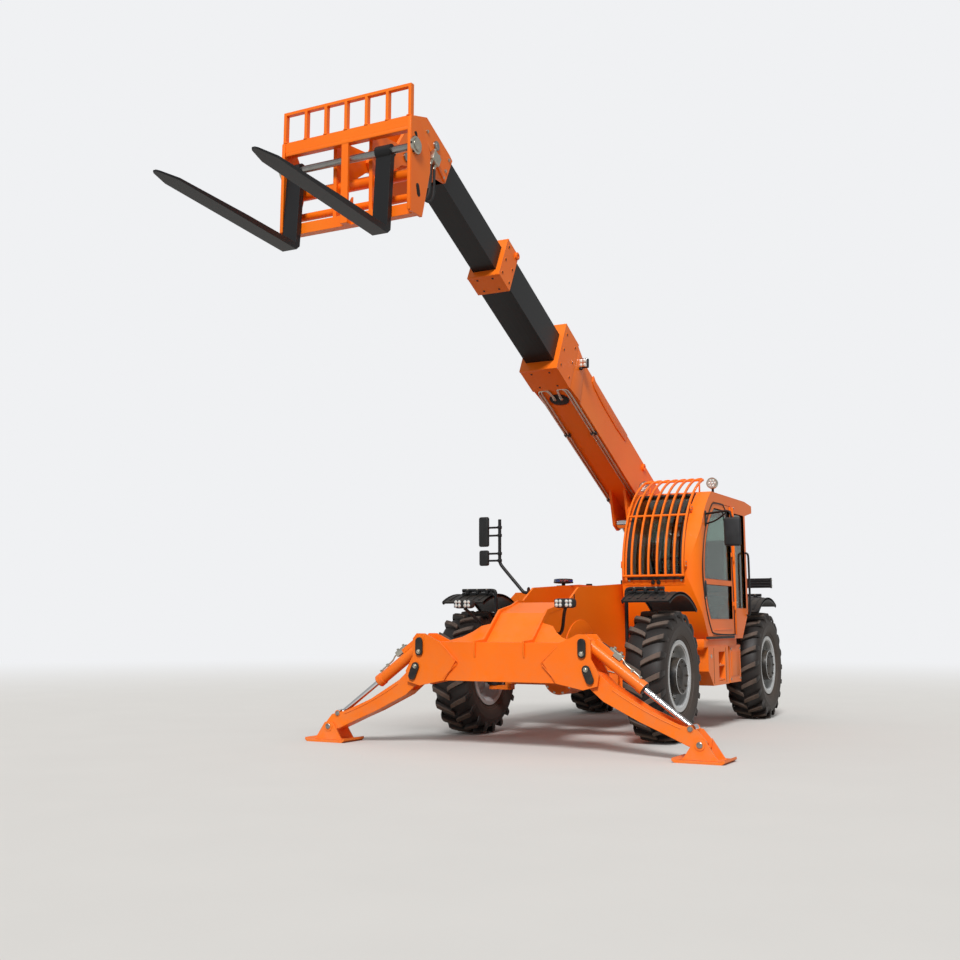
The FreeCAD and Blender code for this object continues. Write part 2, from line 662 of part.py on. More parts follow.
def tail_pads(x_low, width, height, wall, room_width, room_height):
    """A ring of wear pads round a section's tail, out to the section that it slides in."""
    ring = block(x_low, f"{x_low} + pad_ring", f"-({room_width}) / 2 + slide_gap",
                 f"({room_width}) / 2 - slide_gap", f"boom_rise - ({room_height}) / 2 + slide_gap",
                 f"boom_rise + ({room_height}) / 2 - slide_gap")
    hole = block(f"{x_low} - 1", f"{x_low} + pad_ring + 1", f"-({width}) / 2 + {wall}",
                 f"({width}) / 2 - {wall}", f"boom_rise - ({height}) / 2 + {wall}",
                 f"boom_rise + ({height}) / 2 - {wall}")
    return cut(ring, hole)


def boom_base():
    tube = box_tube("-base_tail", "base_front - base_collar", "base_width", "base_height", "base_wall",
                    "boom_rise")
    ring = collar("base_front - base_collar", "base_front", "base_width", "base_height",
                  "mid_width", "mid_height")
    hub = rod_y("boom_pin_radius * 1.8", "-frame_width / 2 + plate_gauge + 6",
                "frame_width / 2 - plate_gauge - 6")
    bore = rod_y("boom_pin_radius + pin_gap", "-frame_width", "frame_width")
    under = "boom_rise - base_height / 2"
    lug = side_plate([("lift_eye_along - 350", f"{under} + 2"), ("lift_eye_along - 60", "-lift_eye_below - 60"),
                      ("lift_eye_along + 60", "-lift_eye_below - 60"),
                      ("lift_eye_along + 330", f"{under} + 2")],
                     "lift_rod_radius + 25", "lift_rod_radius + 55")
    stubs = both_sides(rod_y(30, "lift_rod_radius + 22", "lift_rod_radius + 70",
                             "lift_eye_along", "-lift_eye_below"))
    whole = fuse(tube, ring, hub, *both_sides(lug), *stubs)
    node("boom_base", boom_placed(cut(whole, bore)))


def boom_mid():
    """The middle section, modelled where it lies when the boom is in."""
    tail = "base_front + nose_gap + mid_collar - mid_length"
    front = "base_front + nose_gap + mid_collar"
    tube = box_tube(tail, f"{front} - mid_collar", "mid_width", "mid_height", "mid_wall", "boom_rise")
    ring = collar(f"{front} - mid_collar", front, "mid_width", "mid_height", "tip_width", "tip_height")
    pads = tail_pads(tail, "mid_width", "mid_height", "mid_wall",
                     "base_width - base_wall * 2", "base_height - base_wall * 2")
    node("boom_mid", boom_placed(fuse(tube, pads), "boom_out"))
    node("mid_collar", boom_placed(ring, "boom_out"))


TIP_FRONT = "base_front + nose_gap * 2 + mid_collar"


def boom_head():
    """The drop nose at the boom's end: two cheeks, joined by plates, with a bore for the nose pin."""
    pin_x, pin_z = f"{TIP_FRONT} + nose_reach", "boom_rise - nose_drop"
    top = "boom_rise + tip_height / 2"
    bottom = "boom_rise - tip_height / 2"
    cheek = side_plate([(TIP_FRONT, bottom), (f"{pin_x} - 480", f"{bottom} - 60"),
                        (f"{pin_x} - 300", f"{pin_z} - 120"), (f"{pin_x} - 40", f"{pin_z} - 95"),
                        (f"{pin_x} + 75", f"{pin_z} - 60"), (f"{pin_x} + 95", f"{pin_z} + 60"),
                        (f"{pin_x} + 30", f"{top} - 130"), (f"{pin_x} - 120", f"{top} + 10"),
                        (f"{TIP_FRONT} + 60", f"{top} + 10"), (TIP_FRONT, top)],
                       "tip_width / 2 - 2", "tip_width / 2 + head_plate")
    inside = "tip_width / 2"
    roof = block(TIP_FRONT, f"{pin_x} - 130", f"-{inside}", inside, f"{top} - 20", top)
    heel = block(f"{pin_x} - 300", f"{pin_x} - 60", f"-{inside}", inside, f"{pin_z} - 90", f"{pin_z} - 70")
    chin = side_plate([(f"{pin_x} - 480", f"{bottom} - 50"), (f"{pin_x} - 300", f"{pin_z} - 100"),
                       (f"{pin_x} - 300", f"{pin_z} - 75"), (f"{pin_x} - 480", f"{bottom} - 20")],
                      f"-{inside}", inside)
    boss = rod_y("nose_pin_radius + 30", "tip_width / 2 - 2", "tip_width / 2 + head_plate", pin_x, pin_z)
    bore = rod_y("nose_pin_radius + pin_gap", "-tip_width", "tip_width", pin_x, pin_z)
    return cut(fuse(*both_sides(cheek), roof, heel, chin, *both_sides(boss)), bore)


def boom_tip():
    """The tip section and the boom head, modelled where they lie when the boom is in."""
    tail = f"{TIP_FRONT} - tip_length"
    tube = box_tube(tail, TIP_FRONT, "tip_width", "tip_height", "tip_wall", "boom_rise")
    pads = tail_pads(tail, "tip_width", "tip_height", "tip_wall",
                     "mid_width - mid_wall * 2", "mid_height - mid_wall * 2")
    node("boom_tip", boom_placed(fuse(tube, pads), "boom_out * 2"))
    node("boom_head", boom_placed(boom_head(), "boom_out * 2"))


# The fork carriage, laid level with the nose pin at the origin


PIN_ALONG = f"({TIP_FRONT} + nose_reach + boom_out * 2)"
PIN_UP = "(boom_rise - nose_drop)"
NOSE_X = f"(boom_pivot_x + {PIN_ALONG} * cos(boom_angle) - {PIN_UP} * sin(boom_angle))"
NOSE_Z = f"(boom_pivot_z + {PIN_ALONG} * sin(boom_angle) + {PIN_UP} * cos(boom_angle))"


def nose_placed(item):
    return move(item, NOSE_X, 0, NOSE_Z)


def nose_pin():
    half = "tip_width / 2 + head_plate"
    node("nose_pin", nose_placed(grouped(rod_y("nose_pin_radius", f"-({half}) - 50", f"{half} + 50"))))


def carriage():
    x, z = "shaft_ahead", "-shaft_below"
    half = "carriage_width / 2"
    front = f"{x} + carriage_front"
    side = side_plate([(front, f"{z} + carriage_high"), (f"{x} - 80", f"{z} + carriage_high"),
                       (f"{x} - 220", f"{z} + 20"), (f"{x} - 220", f"{z} - 130"),
                       (f"{x} - 110", f"{z} - carriage_low"), (front, f"{z} - carriage_low")],
                      f"{half} - 20", half)
    low_bar = f"({x} - fork_back / cos(fork_lean) + (carriage_low - 85) * tan(fork_lean) - 5)"
    beams = [
        block(f"{x} - 60", front, f"-{half} + 20", f"{half} - 20",
              f"{z} + carriage_high - 80", f"{z} + carriage_high"),
        block(f"{low_bar} - 70", low_bar, f"-{half} + 20", f"{half} - 20",
              f"{z} - carriage_low", f"{z} - carriage_low + 85"),
        block(f"{front} - 22", front, "-30", "30", f"{z} - carriage_low + 10", f"{z} + carriage_high - 79"),
        block(f"{low_bar} - 20", front, "-30", "30", f"{z} - carriage_low", f"{z} - carriage_low + 40"),
        rod_y(45, f"-{half} + 15", f"{half} - 15", f"{x} - 130", f"{z} - 150"),
        rod_y(30, f"-{half} + 15", f"{half} - 15", f"{x} - 130", f"{z} - 330"),
    ]
    lug_in = "tip_width / 2 + head_plate + 6"
    lug = side_plate([("-70", "-50"), ("-50", "70"), ("60", "75"), (f"{x} - 50", f"{z} + carriage_high - 10"),
                      (f"{x} - 55", f"{z} + carriage_high - 80"), (f"{x} - 62", f"{z} - carriage_low + 20"),
                      (f"{x} - 105", f"{z} - carriage_low + 20"), (f"{x} - 190", f"{z} - 220"),
                      (f"{x} - 260", f"{z} - 60"), ("60", "-85")],
                     lug_in, f"{lug_in} + 30")
    bores = [rod_y("nose_pin_radius + pin_gap", f"-{half}", half),
             rod_y("shaft_radius + pin_gap", f"-{half} - 1", f"{half} + 1", x, z)]
    posts = [f"{half} - 30", f"-({half}) + 6"] + [f"({half} - 30) * {step} / 3 - 12" for step in (-2, -1, 0, 1, 2)]
    guard = [block(f"{front} - 40", front, y, f"{y} + 24", f"{z} + carriage_high - 1",
                   f"{z} + guard_high - 1") for y in posts]
    guard.append(block(f"{front} - 40", front, f"-({half}) + 6", f"{half} - 6",
                       f"{z} + guard_high - 24", f"{z} + guard_high"))
    whole = fuse(*both_sides(side), *beams, *both_sides(lug), *guard)
    node("fork_carriage", nose_placed(cut(whole, *bores)))


def fork_shaft():
    x, z = "shaft_ahead", "-shaft_below"
    half = "carriage_width / 2"
    caps = both_sides(rod_y("shaft_radius * 1.7", f"{half} + pin_gap", f"{half} + 28", x, z))
    node("fork_shaft", nose_placed(fuse(rod_y("shaft_radius", f"-{half} - 10", f"{half} + 10", x, z), *caps)))


def fork(y):
    """An eye on the shaft, a shank down to the heel, and a blade that tapers to its tip."""
    half = "fork_width / 2"
    back, front = "-fork_back", "fork_gauge - fork_back"
    low = "-fork_drop"
    side = side_plate([(back, "45"), (back, f"{low} + 35"), (f"{back} + 35", low),
                       ("fork_reach", f"{low} + 22"), ("fork_reach", f"{low} + 34"),
                       ("fork_reach * 0.4", f"{low} + fork_gauge"), (front, f"{low} + fork_gauge"),
                       (front, "45")], f"{y} - {half}", f"{y} + {half}")
    tip = "fork_reach"
    plan = flat_plate([(f"{back} - 30", f"{y} - {half}"), (f"{tip} - 170", f"{y} - {half}"),
                       (f"{tip} - 20", f"{y} - 25"), (tip, f"{y} - 12"), (tip, f"{y} + 12"),
                       (f"{tip} - 20", f"{y} + 25"), (f"{tip} - 170", f"{y} + {half}"),
                       (f"{back} - 30", f"{y} + {half}")], f"{low} - 5", "60")
    eye = rod_y("shaft_radius + 20", f"{y} - {half}", f"{y} + {half}")
    bore = rod_y("shaft_radius + pin_gap", f"{y} - fork_width", f"{y} + fork_width")
    leaning = turn(cut(fuse(common(side, plan), eye), bore), Vector(0, -1, 0), "fork_lean",
                   "shaft_ahead", 0, "-shaft_below")
    return nose_placed(grouped(leaning))


def forks():
    node("fork_left", fork("fork_left_y"))
    node("fork_right", fork("fork_right_y"))


# The lift cylinder, laid along X from its foot pin until it is turned to its eye


def lift_cylinder():
    eye_x = "(boom_pivot_x + lift_eye_along * cos(boom_angle) + lift_eye_below * sin(boom_angle))"
    eye_z = "(boom_pivot_z + lift_eye_along * sin(boom_angle) - lift_eye_below * cos(boom_angle))"
    run, rise = f"({eye_x} - lift_foot_x)", f"({eye_z} - lift_foot_z)"
    length = f"sqrt({run} * {run} + {rise} * {rise})"
    slope = f"atan2({rise}; {run})"
    width = "frame_width / 2 - plate_gauge - 8"
    foot = rod_y("lift_rod_radius + 25", f"-60", "60")
    barrel = fuse(rod_x("lift_barrel_radius", "60", "lift_barrel_length - 70"),
                  rod_x("lift_barrel_radius + 10", "lift_barrel_length - 70", "lift_barrel_length"), foot)
    hollow = rod_x("lift_rod_radius + pin_gap", "120", "lift_barrel_length + 1")
    bore = rod_y("lift_rod_radius - 8 + pin_gap", f"-({width})", width)
    placed = cut(barrel, hollow, bore)
    node("lift_barrel", turn(placed, Vector(0, -1, 0), slope, "lift_foot_x", 0, "lift_foot_z"))
    shaft = rod_x("lift_rod_radius", "lift_barrel_length / 3", f"{length} - 20")
    eye = rod_y("lift_rod_radius + 15", "-lift_rod_radius - 15", "lift_rod_radius + 15", length, 0)
    node("lift_rod", turn(fuse(shaft, eye), Vector(0, -1, 0), slope, "lift_foot_x", 0, "lift_foot_z"))


# Outriggers: each lies along +Y from its own pin until it is turned down to its foot


ARM_RISE = "(arm_pivot_z - foot_pin_z)"
ARM_RUN = "(foot_pin_y - arm_pivot_y)"
ARM_LENGTH = f"sqrt({ARM_RUN} * {ARM_RUN} + {ARM_RISE} * {ARM_RISE})"
ARM_DROP = f"atan2({ARM_RISE}; {ARM_RUN})"
EYE_OUT = f"({ARM_LENGTH} - jack_eye_back)"
EYE_Y = f"(arm_pivot_y + {EYE_OUT} * cos({ARM_DROP}) + jack_eye_above * sin({ARM_DROP}))"
EYE_Z = f"(arm_pivot_z - {EYE_OUT} * sin({ARM_DROP}) + jack_eye_above * cos({ARM_DROP}))"
JACK_RUN = f"({EYE_Y} - jack_pivot_y)"
JACK_RISE = f"(jack_pivot_z - {EYE_Z})"
JACK_LENGTH = f"sqrt({JACK_RUN} * {JACK_RUN} + {JACK_RISE} * {JACK_RISE})"
JACK_DROP = f"atan2({JACK_RISE}; {JACK_RUN})"


def outrigger_arm():
    end, half = ARM_LENGTH, "arm_width / 2"
    outline = [("-62", "-30"), ("-45", "50"), ("40", "72"), ("170", "38"), (f"{end} * 0.5", "22"),
               (f"{end} * 0.78", "48"), (f"{end} - 70", "88"), (f"{end} + 30", "48"),
               (f"{end} + 52", "-10"), (f"{end} + 20", "-48"), (f"{end} * 0.5", "-100"),
               ("170", "-112"), ("20", "-80")]
    plates = [cross_plate(outline, f"{half} - arm_gauge", half),
              cross_plate(outline, f"-({half})", f"-({half}) + arm_gauge")]
    web = cross_plate([("110", "-99"), ("170", "-108"), (f"{end} * 0.5", "-96"), (f"{end} - 75", "-63"),
                       (f"{end} - 75", "-49"), (f"{end} * 0.5", "-82"), ("170", "-94"), ("110", "-85")],
                      f"-({half}) + 1", f"{half} - 1")
    root = rod_x("link_pin_radius + 24", f"-({half})", half)
    bores = [rod_x("link_pin_radius + pin_gap", "-arm_width", "arm_width"),
             rod_x("link_pin_radius + pin_gap", "-arm_width", "arm_width", end)]
    eyes = [rod_x("jack_rod_radius + 6", low, high, EYE_OUT, "jack_eye_above")
            for low, high in ((f"{half} - 1", f"{half} + 3"), (f"-({half}) - 3", f"-({half}) + 1"))]
    arm = cut(fuse(*plates, web, root, *eyes), *bores)
    return turn(arm, Vector(-1, 0, 0), ARM_DROP, "beam_middle", "arm_pivot_y", "arm_pivot_z")


def jack_placed(item):
    return turn(item, Vector(-1, 0, 0), JACK_DROP, "beam_middle", "jack_pivot_y", "jack_pivot_z")


def jack_barrel():
    foot = rod_x("link_pin_radius + 24", "-60", "60")
    tube = fuse(rod_y("jack_radius", "30", "jack_length - 50"),
                rod_y("jack_radius + 6", "jack_length - 50", "jack_length"), foot,
                block("-28", "28", "60", "250", "jack_radius - 6", "jack_radius + 34"))
    hollow = rod_y("jack_rod_radius + pin_gap", "80", "jack_length + 1")
    bore = rod_x("link_pin_radius + pin_gap", "-61", "61")
    return jack_placed(cut(tube, hollow, bore))


def jack_rod():
    shaft = rod_y("jack_rod_radius", "jack_length - 80", f"{JACK_LENGTH} - 10")
    eye = rod_x("jack_rod_radius + 12", "-45", "45", JACK_LENGTH)
    return jack_placed(fuse(shaft, eye))


def foot_pad():
    """A sole with turned-up ends, two lugs and the pin."""
    half = "foot_length / 2"
    sole = cross_plate([(f"-({half}) + 25", 0), (f"{half} - 25", 0), (half, "18"), (f"{half} - 4", "18 + foot_gauge"),
                        (f"{half} - 32", "foot_gauge"), (f"-({half}) + 32", "foot_gauge"),
                        (f"-({half}) + 4", "18 + foot_gauge"), (f"-({half})", "18")],
                       "-foot_width / 2", "foot_width / 2")
    inner = "arm_width / 2 + 6"
    outline = [("-150", "foot_gauge - 1"), ("150", "foot_gauge - 1"), ("42", "foot_pin_z + 38"),
               ("-42", "foot_pin_z + 38")]
    lugs = [cross_plate(outline, inner, f"{inner} + 18"), cross_plate(outline, f"-({inner}) - 18", f"-({inner})")]
    pin = rod_x("link_pin_radius", f"-({inner}) - 30", f"{inner} + 30", 0, "foot_pin_z")
    return move(fuse(sole, *lugs, pin), "beam_middle", "foot_pin_y", 0)


def outriggers():
    makers = (("outrigger_arm", outrigger_arm()), ("outrigger_barrel", jack_barrel()),
              ("outrigger_rod", jack_rod()), ("foot_pad", foot_pad()))
    for kind, item in makers:
        node(f"{kind}_left", item)
        node(f"{kind}_right", mirrored(item))


# The cab


FRONT = "(nose_middle_x + nose_radius)"


def cab_body(inset):
    """The cab's outer form, drawn in by the inset on every side."""
    back, low, high = f"cab_back + {inset}", f"cab_floor + {inset}", f"cab_roof - ({inset})"
    inner, outer = f"cab_inner + {inset}", f"cab_outer - ({inset})"
    front = f"{FRONT} - ({inset})"
    profile = side_plate([(f"{back} + 260", low), (front, low), (front, high), (back, high),
                          (back, f"{low} + 280")], inner, outer)
    curve = fuse(rod_y(f"nose_radius - ({inset})", inner, outer, "nose_middle_x", "nose_middle_z"),
                 block(back, "nose_middle_x + 100", inner, outer, low, high))
    radius = f"corner_radius - ({inset})"
    plan = fuse(block(back, f"{FRONT} - corner_radius", inner, outer, low, high),
                block(back, front, inner, "cab_outer - corner_radius", low, high),
                rod_z(radius, low, high, f"{FRONT} - corner_radius", "cab_outer - corner_radius"))
    return common(profile, curve, plan)


def door_region(grow, y_low, y_high):
    """The door's outline on the cab's side, grown by the gap round it."""
    rect = block(f"door_hinge_x - ({grow})", FRONT, y_low, y_high, f"cab_floor + 45 - ({grow})",
                 f"cab_roof - 110 + {grow}")
    return common(rect, rod_y(f"nose_radius - 120 + {grow}", y_low, y_high, "nose_middle_x", "nose_middle_z"))


def door_windows(y_low, y_high):
    """The door's upper and lower panes."""
    panes = []
    for low, high in (("cab_floor + 210", "cab_floor + 560"), ("cab_floor + 620", "cab_roof - 170")):
        rect = block("door_hinge_x + 70", FRONT, y_low, y_high, low, high)
        panes.append(common(rect, rod_y("nose_radius - 190", y_low, y_high, "nose_middle_x", "nose_middle_z")))
    return panes


def cab_windows():
    """Blocks through the quarter light, the boom side and the back."""
    through = "cab_wall + 10"
    return [
        block("cab_back + 75", "door_hinge_x - 70", f"cab_outer - ({through})", "cab_outer + 10",
              "cab_floor + 330", "cab_roof - 170"),
        block("cab_back + 160", "nose_middle_x + 260", "cab_inner - 10", f"cab_inner + {through}",
              "cab_floor + 680", "cab_roof - 170"),
        block("cab_back - 10", f"cab_back + {through}", "cab_inner + 110", "cab_outer - 110",
              "cab_floor + 620", "cab_roof - 170"),
    ]


def windscreen_hole():
    """The block that opens the curved front from the belt to the roof."""
    return block("nose_middle_x + 520", f"{FRONT} + 10", "cab_inner + 55", "cab_outer - corner_radius - 5",
                 "cab_floor + 620", "cab_roof + 10")


def cab_shell():
    shell = cut(cab_body("0"), cab_body("cab_wall"))
    door_hole = door_region("door_gap", "cab_outer - cab_wall - 60", "cab_outer + 10")
    visor = side_plate([("cab_back + 1", "cab_roof"), ("cab_back - 290", "cab_roof - 30"),
                        ("cab_back - 290", "cab_roof - 110"), ("cab_back + 1", "cab_roof - 165")],
                       "cab_inner", "cab_outer")
    return fuse(cut(shell, door_hole, windscreen_hole(), *cab_windows()), visor, *door_hinges(-1))


HINGE_HEIGHTS = ("cab_floor + 350", "cab_floor + 880", "cab_floor + 1380")


def door_hinges(side):
    """Three half hinges on the cab's outer face: side 1 is the door's half, -1 the cab's."""
    pieces = []
    axis = "door_hinge_x - door_gap / 2"
    for height in HINGE_HEIGHTS:
        low, high = (f"{height} + pin_gap / 2", f"{height} + 45") if side == 1 else (f"{height} - 45",
                                                                                    f"{height} - pin_gap / 2")
        pieces.append(rod_z(12, low, high, axis, "cab_outer + 13"))
        ends = (axis, f"{axis} + 62") if side == 1 else (f"{axis} - 62", axis)
        pieces.append(block(*ends, "cab_outer + 4", "cab_outer + 12", low, high))
        ends = (f"{axis} + 10", f"{axis} + 62") if side == 1 else (f"{axis} - 62", f"{axis} - 10")
        pieces.append(block(*ends, "cab_outer - 1", "cab_outer + 5", low, high))
    return pieces


def glass_sheet():
    return cut(cab_body("glass_inset"), cab_body("(glass_inset + glass_gauge)"))


def windscreen():
    """The front pane, rolled to the curve of the cab's nose."""
    outer, low, high = "nose_radius - glass_inset", "cab_inner", "cab_outer"
    sheet = cut(rod_y(outer, low, high, "nose_middle_x", "nose_middle_z"),
                rod_y(f"{outer} - glass_gauge", f"{low} - 1", f"{high} + 1", "nose_middle_x", "nose_middle_z"))
    below_roof = block("nose_middle_x", FRONT, low, high, "cab_floor", "cab_roof - glass_inset")
    return common(sheet, windscreen_hole(), below_roof)


def door():
    low, high = "cab_outer - cab_wall - 60", "cab_outer + 10"
    panel = common(cut(cab_body("0"), cab_body("cab_wall")), door_region("0", low, high))
    return fuse(cut(panel, *door_windows(low, high)), *door_hinges(1))


def cab():
    node("cab_shell", cab_shell())
    panes = [common(glass_sheet(), window) for window in cab_windows()]
    node("cab_glass", grouped(windscreen(), *panes))
    node("cab_door", door())
    node("door_glass", common(glass_sheet(), fuse(*door_windows("cab_outer - cab_wall - 60", "cab_outer + 10"))))


def guard_arc(y, low, high):
    """One flat bar that follows the windscreen, from low to high degrees above level."""
    reach = "(nose_radius + guard_stand)"
    sides = (f"{y} - guard_bar", f"{y} + guard_bar")
    hoop = cut(rod_y(f"{reach} + guard_bar", *sides, "nose_middle_x", "nose_middle_z"),
               rod_y(f"{reach} - guard_bar", f"{y} - guard_bar - 1", f"{y} + guard_bar + 1",
                     "nose_middle_x", "nose_middle_z"))
    middle = (low + high) / 2
    far = [(f"nose_middle_x + {reach} * 1.5 * cos({angle})", f"nose_middle_z + {reach} * 1.5 * sin({angle})")
           for angle in (low, middle, high)]
    return common(hoop, side_plate([("nose_middle_x", "nose_middle_z")] + far, *sides))


def windscreen_guard():
    """Upright bars over the windscreen with three cross rails and the stays that hold them."""
    low, middle, high = -3, 34, 74
    first, last = size("cab_inner") + 40, size("cab_outer") - 150
    count = int(size("guard_bars"))
    bars = [guard_arc(first + (last - first) * i / (count - 1), low, high) for i in range(count)]
    reach = "(nose_radius + guard_stand)"
    for angle in (low + 0.5, middle, high - 0.5):
        bars.append(rod_y("guard_rail", first - 12, last + 12, f"nose_middle_x + {reach} * cos({angle})",
                          f"nose_middle_z + {reach} * sin({angle})"))
    for y in (first + 40, last - 40):
        bars.append(rod_x("guard_rail - 3", f"{FRONT} - 4", f"nose_middle_x + {reach} * cos({low})", y,
                          f"nose_middle_z + {reach} * sin({low})"))
        bars.append(rod_z("guard_rail - 3", "cab_roof", f"nose_middle_z + {reach} * sin({high})",
                          f"nose_middle_x + {reach} * cos({high})", y))
    node("windscreen_guard", fuse(*bars))


def cab_inside():
    """The seat on its plinth, and the console with the steering column and wheel."""
    floor, middle = "cab_floor + cab_wall", "(cab_inner + cab_outer) / 2"
    seat = [block("-620", "-180", f"{middle} - 230", f"{middle} + 230", floor, f"{floor} + 300"),
            block("-660", "-130", f"{middle} - 250", f"{middle} + 250", f"{floor} + 299", f"{floor} + 420"),
            side_plate([("-560", f"{floor} + 419"), ("-660", f"{floor} + 419"), ("-800", f"{floor} + 1080"),
                        ("-700", f"{floor} + 1100")], f"{middle} - 230", f"{middle} + 230")]
    node("operator_seat", fuse(*seat))
    console = side_plate([("340", floor), ("480", floor), ("640", f"{floor} + 330"), ("600", f"{floor} + 640"),
                          ("520", f"{floor} + 640"), ("440", f"{floor} + 330")],
                         f"{middle} - 200", f"{middle} + 200")
    column = side_plate([("380", floor), ("430", floor), ("300", f"{floor} + 700"), ("250", f"{floor} + 690")],
                        f"{middle} - 30", f"{middle} + 30")
    wheel = cut(rod_z(200, "-12", "12"), rod_z(174, "-13", "13"))
    turn(wheel, Vector(0, -1, 0), 25, 270, middle, f"{floor} + 705")
    spoke = grouped(block("-190", "190", "-18", "18", "-10", "10"))
    turn(spoke, Vector(0, -1, 0), 25, 270, middle, f"{floor} + 705")
    node("cab_controls", fuse(console, column, wheel, spoke))


# Boxes beside the frame, lamps, mirrors and the rear bar


def side_boxes():
    """The box and step below the cab, and the tray of the engine pod on the other side."""
    top = "cab_floor - 70"
    low = "cab_floor - 470"
    front_box = side_plate([("-190", low), ("360", low), ("520", f"{low} + 150"), ("520", top), ("-190", top)],
                           "frame_width / 2", "cab_outer - 20")
    step = block("-60", "160", "cab_outer - 200", "cab_outer", f"{low} + 40", f"{top} - 60")
    rear_box = block("-720", "-300", "frame_width / 2", "cab_outer - 40", low, top)
    joiner = block("-301", "-189", "frame_width / 2", "cab_outer - 260", low, top)
    inside = "pod_outer - hood_wall"
    tray = cut(block("-pod_length / 2", "pod_length / 2", "-pod_outer", "-frame_width / 2",
                     "pod_floor", "pod_split"),
               block("-pod_length / 2 + hood_wall", "pod_length / 2 - hood_wall", f"-({inside})",
                     "-frame_width / 2 - hood_wall", "pod_floor + hood_wall", "pod_split + 1"))
    node("side_boxes", grouped(fuse(cut(front_box, step), rear_box, joiner), tray))


def engine():
    node("engine", block("-pod_length / 2 + 250", "pod_length / 2 - 350", "-pod_outer + 200",
                         "-frame_width / 2 - 80", "pod_floor + hood_wall", "pod_top - 150"))


def hood_hinge(radius):
    """Two hinge pins along the hood's top inner corner."""
    return [rod_x(radius, f"{x} - 60", f"{x} + 60", "-frame_width / 2 - hood_gap", "pod_top")
            for x in ("-pod_length / 2 + 260", "pod_length / 2 - 260")]


LOUVRES = 9


def engine_hood():
    """A lid with sloping shoulders, open below and next to the frame, hinged on the frame's side."""
    low, high = "pod_split + hood_gap", "pod_top"
    inner = "frame_width / 2 + hood_gap"

    def form(inset):
        return cross_plate([(f"-({inner}) + {inset}", f"{low} - 5 * ({inset})"),
                            (f"-({inner}) + {inset}", f"{high} - ({inset})"),
                            (f"-pod_outer + 190", f"{high} - ({inset})"),
                            (f"-pod_outer + {inset}", f"{high} - 190"),
                            (f"-pod_outer + {inset}", f"{low} - 5 * ({inset})")],
                           f"-pod_length / 2 + {inset}", f"pod_length / 2 - ({inset})")

    deep, first, step = "louvre_depth", "pod_split + 90", "louvre_pitch"
    last = f"{first} + {step} * {LOUVRES} + 14"
    side = ("-pod_length / 2 + 120", "pod_length / 2 - 500")
    back = ("-pod_outer + 120", "-frame_width / 2 - 150")
    outer, rear = "-pod_outer", "-pod_length / 2"
    pockets = [block(*side, f"{outer} - 1", f"{outer} + {deep}", first, last),
               block(f"{rear} - 1", f"{rear} + {deep}", *back, first, last)]
    slats = []
    for row in range(LOUVRES):
        ends = (f"{first} + {step} * {row} + 14", f"{first} + {step} * {row} + 32")
        slats.append(block(f"{side[0]} - 1", f"{side[1]} + 1", f"{outer} + 3", f"{outer} + {deep} + 1", *ends))
        slats.append(block(f"{rear} + 3", f"{rear} + {deep} + 1", f"{back[0]} - 1", f"{back[1]} + 1", *ends))
    lid = cut(cut(form("0"), *pockets), form("hood_wall"))
    node("engine_hood", cut(fuse(lid, *slats), *hood_hinge("hood_gap * 2 + pin_gap")))


BEACON = 105


def lamps():
    """Head lamps on bent stalks, two lamps and a beacon on stands, and the tail lamps."""
    frame_side = size("frame_width") / 2
    bar_y, bar_z = size("rear_bar_length") / 2, (size("rear_bar_low") + size("rear_bar_high")) / 2
    items = []
    seat_x, seat_z = size("beam_middle") - 450, size("beam_high") + 70
    lamp_x = size("beam_middle") - 193
    for side in (1, -1):
        stalk = pipe([(seat_x, side * frame_side, seat_z), (seat_x, side * (frame_side + 110), seat_z),
                      (lamp_x, side * (frame_side + 260), 1235)], 16, 50)
        head = block(lamp_x - 40, lamp_x + 40, side * (frame_side + 260) - 100,
                     side * (frame_side + 260) + 100, 1230, 1315)
        items.append(fuse(stalk, head))
        tail = block(f"frame_rear - rear_bar_depth - 30", "frame_rear - rear_bar_depth",
                     side * (bar_y - 130) - 90, side * (bar_y - 130) + 90, bar_z - 35, bar_z + 35)
        items.append(tail)
    for y in ("cab_inner + 30", "cab_outer - 90"):
        stand = rod_z(14, "cab_roof", "cab_roof + 80", "60", y)
        head = rod_x(62, "20", "100", y, "cab_roof + 110")
        items.append(fuse(stand, head))
    beacon_x, beacon_y = f"(pod_length / 2 + {BEACON + 10})", "(-frame_width / 2 - 60)"
    stem = rod_z(20, "frame_top - 50", "frame_top + 6", beacon_x, beacon_y)
    foot = block(f"{beacon_x} - 20", f"{beacon_x} + 20", f"{beacon_y} - 20", "-frame_width / 2",
                 "frame_top - 70", "frame_top - 40")
    items.append(fuse(foot, stem, rod_z(BEACON, "frame_top + 5", "frame_top + 60", beacon_x, beacon_y)))
    node("lamps", grouped(*items))


def mirrors():
    """Two mirrors on a tall stalk at the right, and one on the cab's front pillar."""
    frame_side = size("frame_width") / 2
    pillar, outer = size("nose_middle_x") + size("nose_radius") - 260, size("cab_outer")
    stalk = pipe([(1900, -frame_side, 1390), (1900, -frame_side - 60, 1390), (1900, -570, 1680),
                  (1900, -570, 2120)], 17, 45)
    arms = [rod_y(11, -700, -565, 1900, z) for z in (2040, 1960, 1780, 1710)]
    glasses = [block(1880, 1925, -800, -690, 1850, 2150), block(1880, 1925, -795, -690, 1660, 1815)]
    arm = pipe([(pillar, outer, 2215), (pillar, outer + 40, 2215), (pillar + 200, outer + 330, 2215),
                (pillar + 200, outer + 330, 2120)], 12, 30)
    glass = block(pillar + 180, pillar + 230, outer + 255, outer + 425, 1860, 2150)
    node("mirrors", grouped(fuse(stalk, *arms, *glasses), fuse(arm, glass)))


